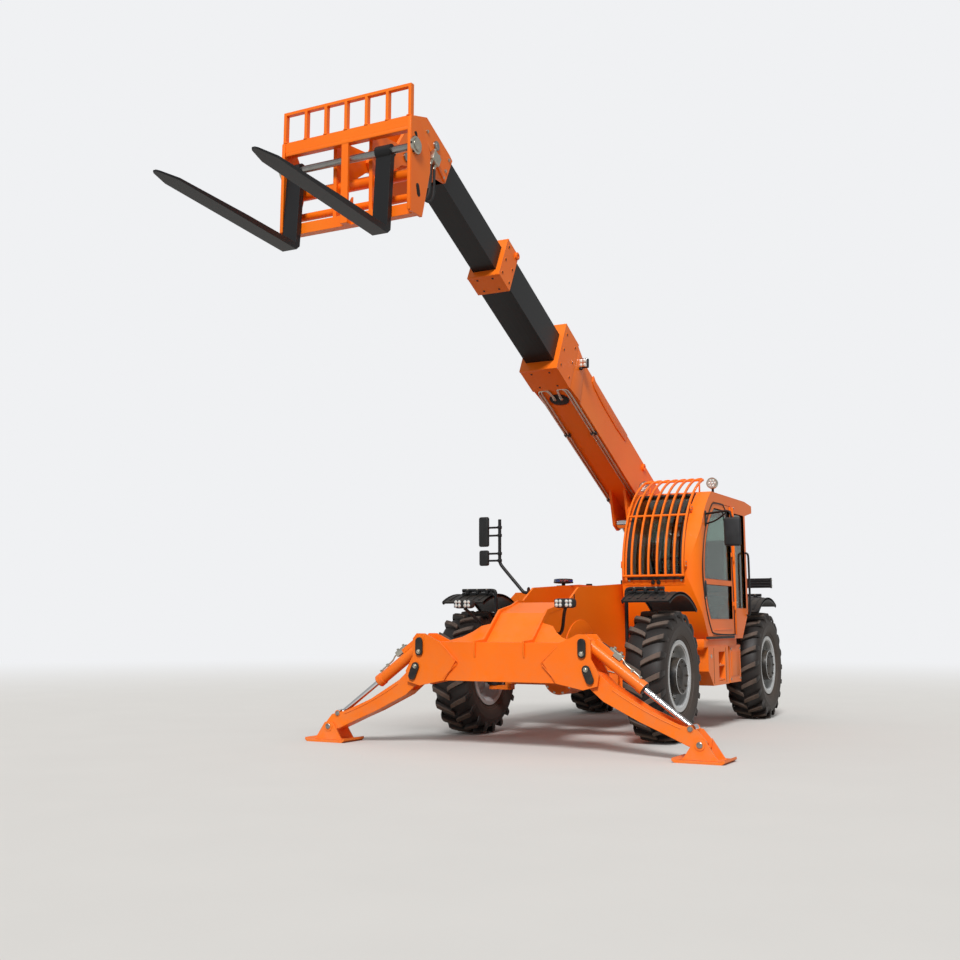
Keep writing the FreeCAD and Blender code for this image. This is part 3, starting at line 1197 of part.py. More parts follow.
def rear_bar():
    half = "rear_bar_length / 2"
    node("rear_bar", block("frame_rear - rear_bar_depth", "frame_rear", f"-({half})", half,
                           "rear_bar_low", "rear_bar_high"))


def check(items):
    """Stops where a piece failed to build."""
    broken = [item.Label for item in doc.Objects if "Invalid" in item.State or "Error" in item.State]
    for item in items:
        if item.Shape.isNull() or not item.Shape.isValid() or not item.Shape.Solids:
            broken.append(item.Label)
    if broken:
        raise RuntimeError(f"pieces that failed: {broken}")


def write(items):
    os.makedirs("parts", exist_ok=True)
    for item in items:
        item.Shape.exportStep(f"parts/{item.Label}.step")


chassis_frame()
axles()
wheels()
boom_base()
boom_mid()
boom_tip()
nose_pin()
carriage()
fork_shaft()
forks()
lift_cylinder()
outriggers()
cab()
windscreen_guard()
cab_inside()
side_boxes()
engine()
engine_hood()
lamps()
mirrors()
rear_bar()
doc.recompute()
check(nodes)
write(nodes)
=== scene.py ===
import json
import math

import bmesh
import bpy
from bpy.props import FloatProperty, FloatVectorProperty, IntProperty, PointerProperty
from mathutils import Matrix, Vector


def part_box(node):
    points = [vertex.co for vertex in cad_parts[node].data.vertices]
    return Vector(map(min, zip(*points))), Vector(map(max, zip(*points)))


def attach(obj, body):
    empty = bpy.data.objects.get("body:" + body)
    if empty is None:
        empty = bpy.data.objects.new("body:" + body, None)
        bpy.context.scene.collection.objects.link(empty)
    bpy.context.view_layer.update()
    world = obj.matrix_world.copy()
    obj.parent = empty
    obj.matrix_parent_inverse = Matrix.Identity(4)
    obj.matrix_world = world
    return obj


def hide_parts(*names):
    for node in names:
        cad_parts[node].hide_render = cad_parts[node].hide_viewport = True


bl_info = {
    "name": "Telehandler",
    "version": (1, 0, 0),
    "blender": (4, 5, 0),
    "location": "View3D > Sidebar > Telehandler",
    "description": "Dresses a telehandler's frame with its tyres, fittings, lamps and finishes",
    "category": "Object",
}

# Metres, +X forward, +Y to the machine's left, +Z up. Each piece is drawn in the frame of
# what carries it: the middle of the wheelbase, a wheel, the boom, the fork shaft or an outrigger.

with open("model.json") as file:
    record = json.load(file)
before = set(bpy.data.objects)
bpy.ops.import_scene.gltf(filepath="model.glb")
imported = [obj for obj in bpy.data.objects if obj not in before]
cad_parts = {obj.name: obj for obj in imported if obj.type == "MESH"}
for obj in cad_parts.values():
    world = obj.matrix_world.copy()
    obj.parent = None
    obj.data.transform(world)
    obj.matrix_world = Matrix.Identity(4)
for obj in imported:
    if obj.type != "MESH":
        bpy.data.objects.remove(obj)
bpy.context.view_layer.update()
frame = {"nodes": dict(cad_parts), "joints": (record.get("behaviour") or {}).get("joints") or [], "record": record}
JOINTS = {joint["name"]: joint for joint in frame["joints"]}
SLOT_OF = {part["node"]: part["material_slot"] for part in frame["record"]["subparts"]}


def pin(joint):
    """Where a joint's pin is at rest."""
    return Vector(JOINTS[joint]["pos_m"])


def axes(at, ahead, left):
    """A frame at a point, from where its own X and Y axes lie."""
    ahead, left = Vector(ahead).normalized(), Vector(left).normalized()
    turned_to = Matrix((ahead, left, ahead.cross(left))).transposed()
    return Matrix.Translation(at) @ turned_to.to_4x4()


def facing(at, out, turn=0):
    """A place for a shape's base, with its own Z axis pointing out."""
    aimed = Vector(out).to_track_quat("Z", "Y").to_matrix().to_4x4()
    return Matrix.Translation(at) @ aimed @ Matrix.Rotation(math.radians(turn), 4, "Z")


def at(x, y, z):
    return Matrix.Translation((x, y, z))


ORIGIN = Matrix()
MIRROR = Matrix.Scale(-1, 4, (0, 1, 0))
BOTH = (ORIGIN, MIRROR)
MIDDLE = at((pin("roll_front_left").x + pin("roll_rear_left").x) / 2, 0, 0)
BOOM = axes(pin("boom_lift"), JOINTS["boom_extend"]["axis"], (0, 1, 0))
SHAFT_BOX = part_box("fork_shaft")
SHAFT = Matrix.Translation((SHAFT_BOX[0] + SHAFT_BOX[1]) / 2)
# Stands an outline in XY up, with its Y as height and its thickness towards -Y or towards +Y.
UPRIGHT = Matrix.Rotation(math.pi / 2, 4, "X")
UPRIGHT_LEFT = UPRIGHT @ Matrix.Scale(-1, 4, (0, 0, 1))


def linear(code):
    """An sRGB hex colour as linear values."""
    parts = [int(code[i:i + 2], 16) / 255 for i in (0, 2, 4)]
    return tuple(part / 12.92 if part <= 0.04045 else ((part + 0.055) / 1.055) ** 2.4 for part in parts)


def solid(colour):
    return (*colour, 1)


def tone(code):
    """An sRGB hex colour as a shader's opaque colour."""
    return solid(linear(code))


# Sizes and colours that a user would change


def colour(name, description, code):
    return FloatVectorProperty(name=name, description=description, subtype="COLOR", size=3,
                               min=0, max=1, default=linear(code))


class TelehandlerPaint(bpy.types.PropertyGroup):
    orange: colour("Orange", "Enamel of the frame, cab, boom and outriggers", "FF750A")
    faded: colour("Faded orange", "The same enamel where the sun has bleached it", "FF8418")
    black: colour("Black", "Enamel of the inner boom sections, forks and mudguards", "17181A")
    silver: colour("Silver", "Enamel of the wheel rims", "CBCED0")
    dust: colour("Dust", "Dry dust on top faces and near the ground", "A8937A")
    dustiness: FloatProperty(name="Dustiness", description="How much dust lies on the machine",
                             default=0.12, min=0, max=1, subtype="FACTOR")


class TelehandlerTyres(bpy.types.PropertyGroup):
    lugs: IntProperty(name="Lugs", description="Lugs on each side of a tyre", default=20, min=8, max=40)
    lug_width: FloatProperty(name="Lug width", description="A lug round the tyre, at its nose",
                             default=0.05, min=0.02, max=0.08, unit="LENGTH", subtype="DISTANCE")
    lug_lean: FloatProperty(name="Lug lean", description="A lug's lean round the tyre, nose to shoulder",
                            default=0.197, min=0, max=0.5, unit="ROTATION", subtype="ANGLE")
    wheel_nuts: IntProperty(name="Wheel nuts", description="Nuts on each wheel disc", default=10, min=5,
                            max=16)


class TelehandlerFittings(bpy.types.PropertyGroup):
    bolt: FloatProperty(name="Bolt", description="Structural bolt across its head", default=0.03,
                        min=0.01, max=0.06, unit="LENGTH", subtype="DISTANCE")
    small_bolt: FloatProperty(name="Small bolt", description="Bolt of a lamp, clamp or cover across its head",
                              default=0.018, min=0.006, max=0.04, unit="LENGTH", subtype="DISTANCE")
    hose: FloatProperty(name="Hose", description="Hydraulic hose, radius", default=0.011,
                        min=0.004, max=0.03, unit="LENGTH", subtype="DISTANCE")
    seal: FloatProperty(name="Seal", description="Width of the rubber round the cab's glass",
                        default=0.022,
                        min=0.005, max=0.05, unit="LENGTH", subtype="DISTANCE")


class TelehandlerStage(bpy.types.PropertyGroup):
    floor: colour("Floor", "Plain pale floor", "DAD8D4")
    backdrop: colour("Backdrop", "What the camera sees past the floor", "F0F1F3")
    key: FloatProperty(name="Key light", description="Strength of the soft main light", default=2.8,
                       min=0, max=10)
    fill: FloatProperty(name="Fill light", description="Strength of the light from all round",
                        default=0.45, min=0, max=5)
    lens: FloatProperty(name="Lens", description="The camera's focal length", default=44.272,
                        min=10, max=200, unit="CAMERA")


def settings():
    return bpy.context.scene.telehandler_paint


# Finishes


def feed(tree, node, inputs):
    """Sets a node's inputs to values, to other nodes' outputs or to the output that a node has in use."""
    for name, value in inputs.items():
        if isinstance(value, bpy.types.Node):
            value = next(output for output in value.outputs if output.enabled)
        if isinstance(value, bpy.types.NodeSocket):
            tree.links.new(value, node.inputs[name])
        else:
            node.inputs[name].default_value = value


def add(tree, kind, inputs=None, **given):
    """Adds one shader node, with its settings and its inputs."""
    node = tree.nodes.new("ShaderNode" + kind)
    for name, value in given.items():
        setattr(node, name, value)
    feed(tree, node, inputs or {})
    return node


def started(name):
    """A new material: its nodes, its shader and the places that its patterns read."""
    material = bpy.data.materials.new(name)
    material.use_nodes = True
    tree = material.node_tree
    return tree, tree.nodes["Principled BSDF"], add(tree, "TexCoord").outputs


def dust_on(tree, place, amount):
    """How much dust lies on a point: more on top faces and near the ground, in blotches."""
    spot = add(tree, "SeparateXYZ", {0: place["Object"]}).outputs["Z"]
    face = add(tree, "SeparateXYZ", {0: place["Normal"]}).outputs["Z"]
    top = add(tree, "MapRange", {"Value": face, "From Min": 0.2, "From Max": 1, "To Max": 0.8})
    low = add(tree, "MapRange", {"Value": spot, "From Min": 1.1, "From Max": 0.05, "To Max": 1.5})
    both = add(tree, "Math", {0: top, 1: low}, operation="ADD")
    # Blotches the size of a hand, broken by flecks a few millimetres across.
    blotch = add(tree, "TexNoise", {"Vector": place["Object"], "Scale": 1 / 0.14, "Detail": 9,
                                    "Roughness": 0.68, "Distortion": 0.2})
    spread = add(tree, "MapRange", {"Value": blotch, "From Min": 0.36, "From Max": 0.72,
                                    "To Max": amount * 1.6})
    return add(tree, "Math", {0: both, 1: spread}, operation="MULTIPLY", use_clamp=True)


def rubbed_edges(tree, place, radius, width):
    """A softened normal for sharp edges, and how far a point on an edge has rubbed through."""
    soft = add(tree, "Bevel", {"Radius": radius}, samples=4)
    flat = add(tree, "NewGeometry").outputs["Normal"]
    turn = add(tree, "VectorMath", {0: soft, 1: flat}, operation="DOT_PRODUCT")
    edge = add(tree, "MapRange", {"Value": turn, "From Min": 0.97, "From Max": 0.8})
    nicks = add(tree, "TexNoise", {"Vector": place["Object"], "Scale": 1 / width, "Detail": 6,
                                   "Roughness": 0.75})
    where = add(tree, "MapRange", {"Value": nicks, "From Min": 0.5, "From Max": 0.62})
    return soft, add(tree, "Math", {0: edge, 1: where}, operation="MULTIPLY", use_clamp=True)


def enamel(name, coat, bleached, bare, amount, rough, gloss, metal=0.0):
    """Paint sprayed on steel plate: even, faintly pebbled, bleached in patches and rubbed at its edges."""
    tree, shader, place = started(name)
    patch = add(tree, "TexNoise", {"Vector": place["Object"], "Scale": 1 / 0.7, "Detail": 4})
    pale = add(tree, "MapRange", {"Value": patch, "From Min": 0.42, "From Max": 0.7, "To Max": 0.55})
    body = add(tree, "Mix", {0: pale, 6: solid(coat), 7: solid(bleached)}, data_type="RGBA")
    soft, worn = rubbed_edges(tree, place, 0.004, 0.03)
    nicked = add(tree, "Mix", {0: worn, 6: body, 7: solid(bare)}, data_type="RGBA")
    dust = dust_on(tree, place, amount)
    # Orange peel: ripples about 3 mm across.
    peel = add(tree, "TexNoise", {"Vector": place["Object"], "Scale": 1 / 0.003, "Detail": 2})
    feed(tree, shader, {
        "Base Color": add(tree, "Mix", {0: dust, 6: nicked, 7: solid(settings().dust)}, data_type="RGBA"),
        "Roughness": add(tree, "MapRange", {"Value": dust, "To Min": rough, "To Max": 0.9}),
        "Normal": add(tree, "Bump", {"Height": peel, "Strength": 0.12, "Distance": 0.001,
                                     "Normal": soft}),
        "Specular IOR Level": 0.3, "Coat Weight": gloss, "Coat Roughness": 0.14, "Metallic": metal,
    })


def sliding_enamel(name, coat):
    """Black paint on the boom's inner sections: the wear pads leave long grey streaks along the boom."""
    tree, shader, place = started(name)
    lie = add(tree, "Mapping", {"Vector": place["Object"], "Rotation": BOOM.to_3x3().inverted().to_euler()})
    # Streaks 8 mm wide and about a metre long.
    thin = add(tree, "VectorMath", {0: lie, 1: (1.0, 120, 120)}, operation="MULTIPLY")
    streak = add(tree, "TexNoise", {"Vector": thin, "Scale": 1, "Detail": 5})
    rubbed = add(tree, "MapRange", {"Value": streak, "From Min": 0.5, "From Max": 0.74, "To Max": 0.5})
    soft, worn = rubbed_edges(tree, place, 0.004, 0.04)
    grey = add(tree, "Mix", {0: rubbed, 6: solid(coat), 7: tone("2B2C2D")}, data_type="RGBA")
    edge = add(tree, "Mix", {0: worn, 6: grey, 7: tone("55554F")}, data_type="RGBA")
    feed(tree, shader, {
        "Base Color": add(tree, "Mix", {0: dust_on(tree, place, 0.1), 6: edge, 7: solid(settings().dust)},
                          data_type="RGBA"),
        "Roughness": add(tree, "MapRange", {"Value": rubbed, "To Min": 0.32, "To Max": 0.5}),
        "Normal": add(tree, "Bump", {"Height": streak, "Strength": 0.08, "Distance": 0.001,
                                     "Normal": soft}),
        "Specular IOR Level": 0.25,
    })


def metal(name, colour, rough, grain, tarnish="6F6A60", spots=0.3):
    """Bare metal: its own colour, tool marks as fine as its grain, and dull spots."""
    tree, shader, place = started(name)
    fine = add(tree, "TexNoise", {"Vector": place["Object"], "Scale": 1 / grain, "Detail": 3})
    spot = add(tree, "TexNoise", {"Vector": place["Object"], "Scale": 1 / 0.05, "Detail": 6})
    dull = add(tree, "MapRange", {"Value": spot, "From Min": 0.5, "From Max": 0.75, "To Max": spots})
    feed(tree, shader, {
        "Base Color": add(tree, "Mix", {0: dull, 6: tone(colour), 7: tone(tarnish)}, data_type="RGBA"),
        "Roughness": add(tree, "MapRange", {"Value": fine, "From Min": 0.3, "From Max": 0.7,
                                            "To Min": rough * 0.7, "To Max": rough * 1.4}),
        "Normal": add(tree, "Bump", {"Height": fine, "Strength": 0.1, "Distance": 0.0006}),
        "Metallic": 1,
    })


def moulded(name, colour, weathered, rough, grain, amount, depth=0.25):
    """Moulded plastic or rubber: a fine grain, paler where it has weathered, with some dust."""
    tree, shader, place = started(name)
    patch = add(tree, "TexNoise", {"Vector": place["Object"], "Scale": 1 / 0.12, "Detail": 5})
    pale = add(tree, "MapRange", {"Value": patch, "From Min": 0.45, "From Max": 0.7})
    body = add(tree, "Mix", {0: pale, 6: tone(colour), 7: tone(weathered)}, data_type="RGBA")
    cells = add(tree, "TexVoronoi", {"Vector": place["Object"], "Scale": 1 / grain})
    soft = add(tree, "Bevel", {"Radius": 0.003}, samples=4)
    feed(tree, shader, {
        "Base Color": add(tree, "Mix", {0: dust_on(tree, place, amount), 6: body,
                                        7: solid(settings().dust)}, data_type="RGBA"),
        "Roughness": add(tree, "MapRange", {"Value": pale, "To Min": rough,
                                            "To Max": min(rough + 0.18, 0.95)}),
        "Normal": add(tree, "Bump", {"Height": cells, "Strength": depth, "Distance": 0.0008,
                                     "Normal": soft}),
    })


def tyre_rubber(name, middle):
    """Tread rubber: nearly black in the grooves, scuffed brown-grey with dry soil on the lugs."""
    tree, shader, place = started(name)
    off = add(tree, "VectorMath", {0: place["Object"], 1: tuple(middle)}, operation="SUBTRACT")
    flat = add(tree, "VectorMath", {0: off, 1: (1, 0, 1)}, operation="MULTIPLY")
    reach = add(tree, "VectorMath", {0: flat}, operation="LENGTH")
    tread = add(tree, "MapRange", {"Value": reach, "From Min": 0.586, "From Max": 0.604})
    wall = add(tree, "MapRange", {"Value": reach, "From Min": 0.56, "From Max": 0.36, "To Max": 0.4})
    soil = add(tree, "TexNoise", {"Vector": place["Object"], "Scale": 1 / 0.05, "Detail": 8,
                                  "Roughness": 0.7})
    patch = add(tree, "MapRange", {"Value": soil, "From Min": 0.3, "From Max": 0.68, "To Min": 0.55})
    either = add(tree, "Math", {0: tread, 1: wall}, operation="MAXIMUM")
    cover = add(tree, "Math", {0: either, 1: patch}, operation="MULTIPLY", use_clamp=True)
    # Scuffs about 4 mm across.
    scuff = add(tree, "TexNoise", {"Vector": place["Object"], "Scale": 1 / 0.004, "Detail": 4})
    feed(tree, shader, {
        "Base Color": add(tree, "Mix", {0: cover, 6: tone("1E1917"), 7: tone("6E5F55")},
                          data_type="RGBA"),
        "Roughness": add(tree, "MapRange", {"Value": cover, "To Min": 0.55, "To Max": 0.9}),
        "Normal": add(tree, "Bump", {"Height": scuff, "Strength": 0.3, "Distance": 0.001}),
    })


def clear(name, colour, rough, index, through=1.0):
    """Glass or clear plastic: its tint, and a light film of dust."""
    tree, shader, place = started(name)
    film = add(tree, "TexNoise", {"Vector": place["Object"], "Scale": 1 / 0.2, "Detail": 7})
    paler = solid(min(part * 1.12, 1) for part in linear(colour))
    feed(tree, shader, {
        "Base Color": add(tree, "Mix", {0: film, 6: tone(colour), 7: paler}, data_type="RGBA"),
        "Roughness": add(tree, "MapRange", {"Value": film, "From Min": 0.4, "From Max": 0.8,
                                            "To Min": rough,
                                            "To Max": rough + 0.12}),
        "Transmission Weight": through, "IOR": index,
    })


def glowing(name, colour, strength):
    """An unlit light-emitting diode's chip and its reflector, as a pale dot with a painted glow: it emits a faint
    light though the lamp is off.
    """
    tree, shader, place = started(name)
    fine = add(tree, "TexVoronoi", {"Vector": place["Object"], "Scale": 1 / 0.003})
    feed(tree, shader, {
        "Base Color": add(tree, "Mix", {0: fine, 6: tone(colour), 7: tone("C9C7BE")}, data_type="RGBA"),
                        "Roughness": 0.25,
        "Emission Color": tone(colour), "Emission Strength": strength,
    })


def tyre_finish(body):
    return f"tread_rubber_{body}"


WHEELS = ("front_left", "front_right", "rear_left", "rear_right")


def make_finishes():
    paint = settings()
    orange, black, silver = tuple(paint.orange), tuple(paint.black), tuple(paint.silver)
    # Two-pack orange enamel: bright and slightly glossy, paler where it has weathered.
    enamel("sprayed_orange_enamel", orange, tuple(paint.faded), linear("FFA050"), paint.dustiness,
           0.42, 0.12)
    # Black chassis enamel: satin, grey at its edges.
    enamel("sprayed_black_enamel", black, linear("222326"), linear("444443"), paint.dustiness, 0.46, 0.04)
    # Aluminium-coloured wheel enamel: a soft grey shine with road dust.
    enamel("silver_wheel_enamel", silver, linear("D4D6D7"), linear("8A8680"), paint.dustiness * 0.4,
           0.42, 0.1, 0.1)
    sliding_enamel("streaked_black_enamel", black)
    # Hard chromium plate: a clean mirror with fine honing rings.
    metal("hard_chrome_plate", "D9DBDD", 0.08, 0.0015, spots=0.05)
    # Ground steel pins and shafts: grey, with a film of oil.
    metal("ground_pin_steel", "9B9A97", 0.3, 0.002)
    # Zinc-plated bolts and pipe fittings: pale with a faint straw cast.
    metal("zinc_plate", "BDB9AC", 0.34, 0.0015, tarnish="8C8676")
    # Grey cast iron: dark, rough and grainy.
    metal("sand_cast_iron", "4A4947", 0.62, 0.004, tarnish="3A332C", spots=0.7)
    # Silvered lamp reflector.
    metal("silvered_reflector", "E6E8EA", 0.12, 0.006, spots=0.02)
    # Front-silvered mirror glass.
    metal(MIRROR_GLASS, "E9EDEF", 0.03, 0.05, spots=0.02)
    # Moulded black plastic: a fine leathery grain.
    moulded("grained_black_plastic", "141517", "222326", 0.45, 0.0022, 0.12)
    # Extruded rubber of seals, hoses and mats: matt black.
    moulded("extruded_seal_rubber", "0E0E0F", "1B1B1C", 0.6, 0.003, 0.1, 0.12)
    # Coated fabric of the seat: soft black with a pebbled grain.
    moulded("pebbled_seat_vinyl", "17181A", "232427", 0.48, 0.0035, 0.03, 0.35)
    # Painted shade: a dark, dull finish for sheets laid where the inside of a slot, hole or step well would be
    # shaded; the display's black glass takes it too.
    moulded("shaded_recess", "0B0A0A", "15120F", 0.8, 0.01, 0.1, 0.1)
    # Green-tinted safety glass.
    clear("tinted_safety_glass", "93AAA0", 0.02, 1.52)
    # Clear polycarbonate of a lamp's lens.
    clear("clear_lamp_lens", "F1F4F5", 0.03, 1.58)
    # Coloured polycarbonate lenses.
    clear("red_lamp_lens", "C21414", 0.08, 1.58, 0.7)
    clear("amber_lamp_lens", "F08A16", 0.08, 1.58, 0.7)
    clear("blue_lamp_lens", "1C4FC4", 0.08, 1.58, 0.7)
    # Unlit diodes with a painted glow: a faint emission makes them read as pale dots.
    glowing("pale_diode", "D6D4CC", 0.08)
    for wheel in WHEELS:
        tyre_rubber(tyre_finish(wheel), pin(f"roll_{wheel}"))


FINISH_OF_SLOT = {
    "orange_paint": "sprayed_orange_enamel", "black_paint": "sprayed_black_enamel",
    "silver_paint": "silver_wheel_enamel", "chromed_rod": "hard_chrome_plate",
    "pin_steel": "ground_pin_steel", "engine_iron": "sand_cast_iron",
    "tyre_rubber": "extruded_seal_rubber", "tinted_glass": "tinted_safety_glass",
    "black_plastic": "grained_black_plastic", "seat_vinyl": "pebbled_seat_vinyl",
}


def paint_frame():
    """Gives each solid of the frame the finish of its slot."""
    for name, item in frame["nodes"].items():
        finish = FINISH_OF_SLOT[SLOT_OF[name]]
        if name in ("boom_mid", "boom_tip"):
            finish = "streaked_black_enamel"
        item.data.materials.clear()
        item.data.materials.append(bpy.data.materials[finish])


# Shapes


def ease(shape, edges, offset, segments=2):
    if offset:
        bmesh.ops.bevel(shape, geom=edges, offset=offset, offset_type="OFFSET", affect="EDGES",
                        segments=segments, profile=0.5, material=-1, clamp_overlap=True)


def slab(x, y, z, edge=0.004, segments=2):
    """A block about the origin with eased edges."""
    shape = bmesh.new()
    bmesh.ops.create_cube(shape, size=1)
    bmesh.ops.scale(shape, vec=(x, y, z), verts=shape.verts)
    ease(shape, shape.edges[:], edge, segments)
    return shape


def drum(radius, length, sides=32, edge=0.002, end=None):
    """A round bar or cone that stands on the origin."""
    shape = bmesh.new()
    bmesh.ops.create_cone(shape, cap_ends=True, segments=sides, radius1=radius,
                          radius2=radius if end is None else end, depth=length)
    bmesh.ops.translate(shape, vec=(0, 0, length / 2), verts=shape.verts)
    rims = [line for line in shape.edges if any(len(face.verts) > 4 for face in line.link_faces)]
    ease(shape, rims, edge)
    return shape


def turned(profile, steps=48, closed=False):
    """A shape turned about Z from (radius, height) points; a closed profile makes a ring."""
    shape = bmesh.new()
    points = [shape.verts.new((radius, 0, height)) for radius, height in profile]
    pairs = list(zip(points, points[1:])) + ([(points[-1], points[0])] if closed else [])
    lines = [shape.edges.new(pair) for pair in pairs]
    bmesh.ops.spin(shape, geom=points + lines, cent=(0, 0, 0), axis=(0, 0, 1), angle=math.tau,
                   steps=steps, use_merge=True)
    bmesh.ops.remove_doubles(shape, verts=shape.verts, dist=1e-5)
    bmesh.ops.recalc_face_normals(shape, faces=shape.faces)
    return shape


def drawn(shape, points):
    return shape.faces.new([shape.verts.new((x, y, 0)) for x, y in points])


def lift(shape, faces, thick):
    lifted = bmesh.ops.extrude_face_region(shape, geom=faces)["geom"]
    corners = [part for part in lifted if isinstance(part, bmesh.types.BMVert)]
    bmesh.ops.translate(shape, vec=(0, 0, thick), verts=corners)
    bmesh.ops.recalc_face_normals(shape, faces=shape.faces)


def plate(points, thick, edge=0.0015):
    """A flat plate from an outline in XY, as thick as it stands up from that plane."""
    shape = bmesh.new()
    lift(shape, [drawn(shape, points)], thick)
    rims = [line for line in shape.edges if all(vert.co.z > thick * 0.9 for vert in line.verts)]
    ease(shape, rims, edge)
    return shape


def surround(points, width, thick):
    """A flat frame of one width inside an outline in XY."""
    shape = bmesh.new()
    pane = drawn(shape, points)
    bmesh.ops.inset_region(shape, faces=[pane], thickness=width, use_even_offset=True, use_boundary=True)
    bmesh.ops.delete(shape, geom=[pane], context="FACES")
    lift(shape, shape.faces[:], thick)
    rims = [line for line in shape.edges if all(vert.co.z > thick * 0.9 for vert in line.verts)
            and line.is_manifold and line.calc_face_angle(0) > 1]
    ease(shape, rims, min(width, thick) * 0.3)
    return shape


def hoop(section, start, sweep, steps=20):
    """A closed (radius, along) section carried round the Y axis, from a start angle in degrees above +X."""
    shape = bmesh.new()
    cap = shape.faces.new([shape.verts.new((radius, along, 0)) for radius, along in section])
    bmesh.ops.rotate(shape, cent=(0, 0, 0), matrix=Matrix.Rotation(-math.radians(start), 3, "Y"),
                     verts=shape.verts)
    bmesh.ops.spin(shape, geom=[cap], cent=(0, 0, 0), axis=(0, -1, 0), angle=math.radians(sweep),
                   steps=steps)
    bmesh.ops.recalc_face_normals(shape, faces=shape.faces)
    return shape


def bar_section(inner, outer, low, high):
    """The section of a square hoop, from its inner to its outer radius and along its axis."""
    return ((inner, low), (outer, low), (outer, high), (inner, high))


def rounded_slot(length, width, steps=8):
    """The outline of a bar with round ends, along Y."""
    radius, half = width / 2, (length - width) / 2
    points = []
    for middle, first in ((half, 0), (-half, math.pi)):
        for step in range(steps + 1):
            angle = first + math.pi * step / steps
            points.append((radius * math.cos(angle), middle + radius * math.sin(angle)))
    return points


def pipe(points, radius, sides=3):
    """A pipe or hose along one smooth line that its points draw towards them."""
    line = bpy.data.curves.new("Line", "CURVE")
    line.dimensions = "3D"
    line.resolution_u = 5
    spline = line.splines.new("NURBS")
    spline.points.add(len(points) - 1)
    for point, place in zip(spline.points, points):
        point.co = (*place, 1)
    spline.order_u = 3
    spline.use_endpoint_u = True
    line.bevel_depth = radius
    line.bevel_resolution = sides
    line.use_fill_caps = True
    holder = bpy.data.objects.new("Line", line)
    mesh = bpy.data.meshes.new_from_object(holder)
    shape = bmesh.new()
    shape.from_mesh(mesh)
    bmesh.ops.remove_doubles(shape, verts=shape.verts, dist=1e-5)
    bmesh.ops.recalc_face_normals(shape, faces=shape.faces)
    bpy.data.objects.remove(holder)
    bpy.data.curves.remove(line)
    bpy.data.meshes.remove(mesh)
    return shape


def spots(xs, y, zs, out):
    """Places on an upright side, at each x and z, facing out to the left (1) or right (-1)."""
    return [facing((x, y, z), (0, out, 0)) for x in xs for z in zs]


def bolt(across):
    """A hex head on its washer, standing on the origin."""
    shape = bmesh.new()
    for sides, radius, low, high in ((12, 0.66, 0, 0.14), (6, 0.56, 0.14, 0.5)):
        made = bmesh.ops.create_cone(shape, cap_ends=True, segments=sides, radius1=radius * across,
                                     radius2=radius * across, depth=(high - low) * across)
        bmesh.ops.translate(shape, vec=(0, 0, (low + high) / 2 * across), verts=made["verts"])
    crown = bmesh.ops.create_cone(shape, cap_ends=True, segments=6, radius1=0.56 * across,
                                  radius2=0.44 * across, depth=0.08 * across)
    bmesh.ops.translate(shape, vec=(0, 0, 0.54 * across), verts=crown["verts"])
    return shape


class Piece:
    """One object, built shape by shape, each shape with its own finish."""

    def __init__(self, name, base=ORIGIN):
        self.name, self.base = name, base
        self.whole = bmesh.new()
        self.finishes = []

    def put(self, shape, finish, *places):
        """Adds the shape at each place in the piece's own frame."""
        if finish not in self.finishes:
            self.finishes.append(finish)
        for face in shape.faces:
            face.material_index = self.finishes.index(finish)
            face.smooth = True
        mesh = bpy.data.meshes.new("Shape")
        shape.to_mesh(mesh)
        shape.free()
        for place in places or (ORIGIN,):
            place = self.base @ place
            copy = mesh.copy()
            copy.transform(place)
            if place.determinant() < 0:
                copy.flip_normals()
            self.whole.from_mesh(copy)
            bpy.data.meshes.remove(copy)
        bpy.data.meshes.remove(mesh)

    def done(self, body, slot, *replaced):
        """Makes the object, and lets it ride on its body in place of the nodes that it replaces."""
        mesh = bpy.data.meshes.new(self.name)
        self.whole.to_mesh(mesh)
        self.whole.free()
        mesh.set_sharp_from_angle(angle=math.radians(38))
        for finish in self.finishes:
            mesh.materials.append(bpy.data.materials[finish])
        item = bpy.data.objects.new(self.name, mesh)
        bpy.context.scene.collection.objects.link(item)
        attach(item, body)
        if replaced:
            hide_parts(*replaced)
        return item


ORANGE, BLACK, SILVER = "sprayed_orange_enamel", "sprayed_black_enamel", "silver_wheel_enamel"
STEEL, ZINC, IRON, MIRROR_GLASS = "ground_pin_steel", "zinc_plate", "sand_cast_iron", "silvered_mirror"
PLASTIC, RUBBER = "grained_black_plastic", "extruded_seal_rubber"
VINYL, SHADE_AND_SCREEN_BLACK = "pebbled_seat_vinyl", "shaded_recess"
LENS, REFLECTOR, DIODE = "clear_lamp_lens", "silvered_reflector", "pale_diode"
RED_LENS, AMBER_LENS, BLUE_LENS = "red_lamp_lens", "amber_lamp_lens", "blue_lamp_lens"


# Wheels


def wheel_place(wheel):
    """A wheel's frame: Y points outboard, the origin is the tyre's middle."""
    middle = pin(f"roll_{wheel}")
    return Matrix.Translation(middle) @ (ORIGIN if middle.y > 0 else MIRROR)


OUTBOARD = Matrix.Rotation(-math.pi / 2, 4, "X")
CROWN, SHOULDER_DROP, ROOT = 0.61, 0.013, 0.556
LUG_LENGTHS = 7


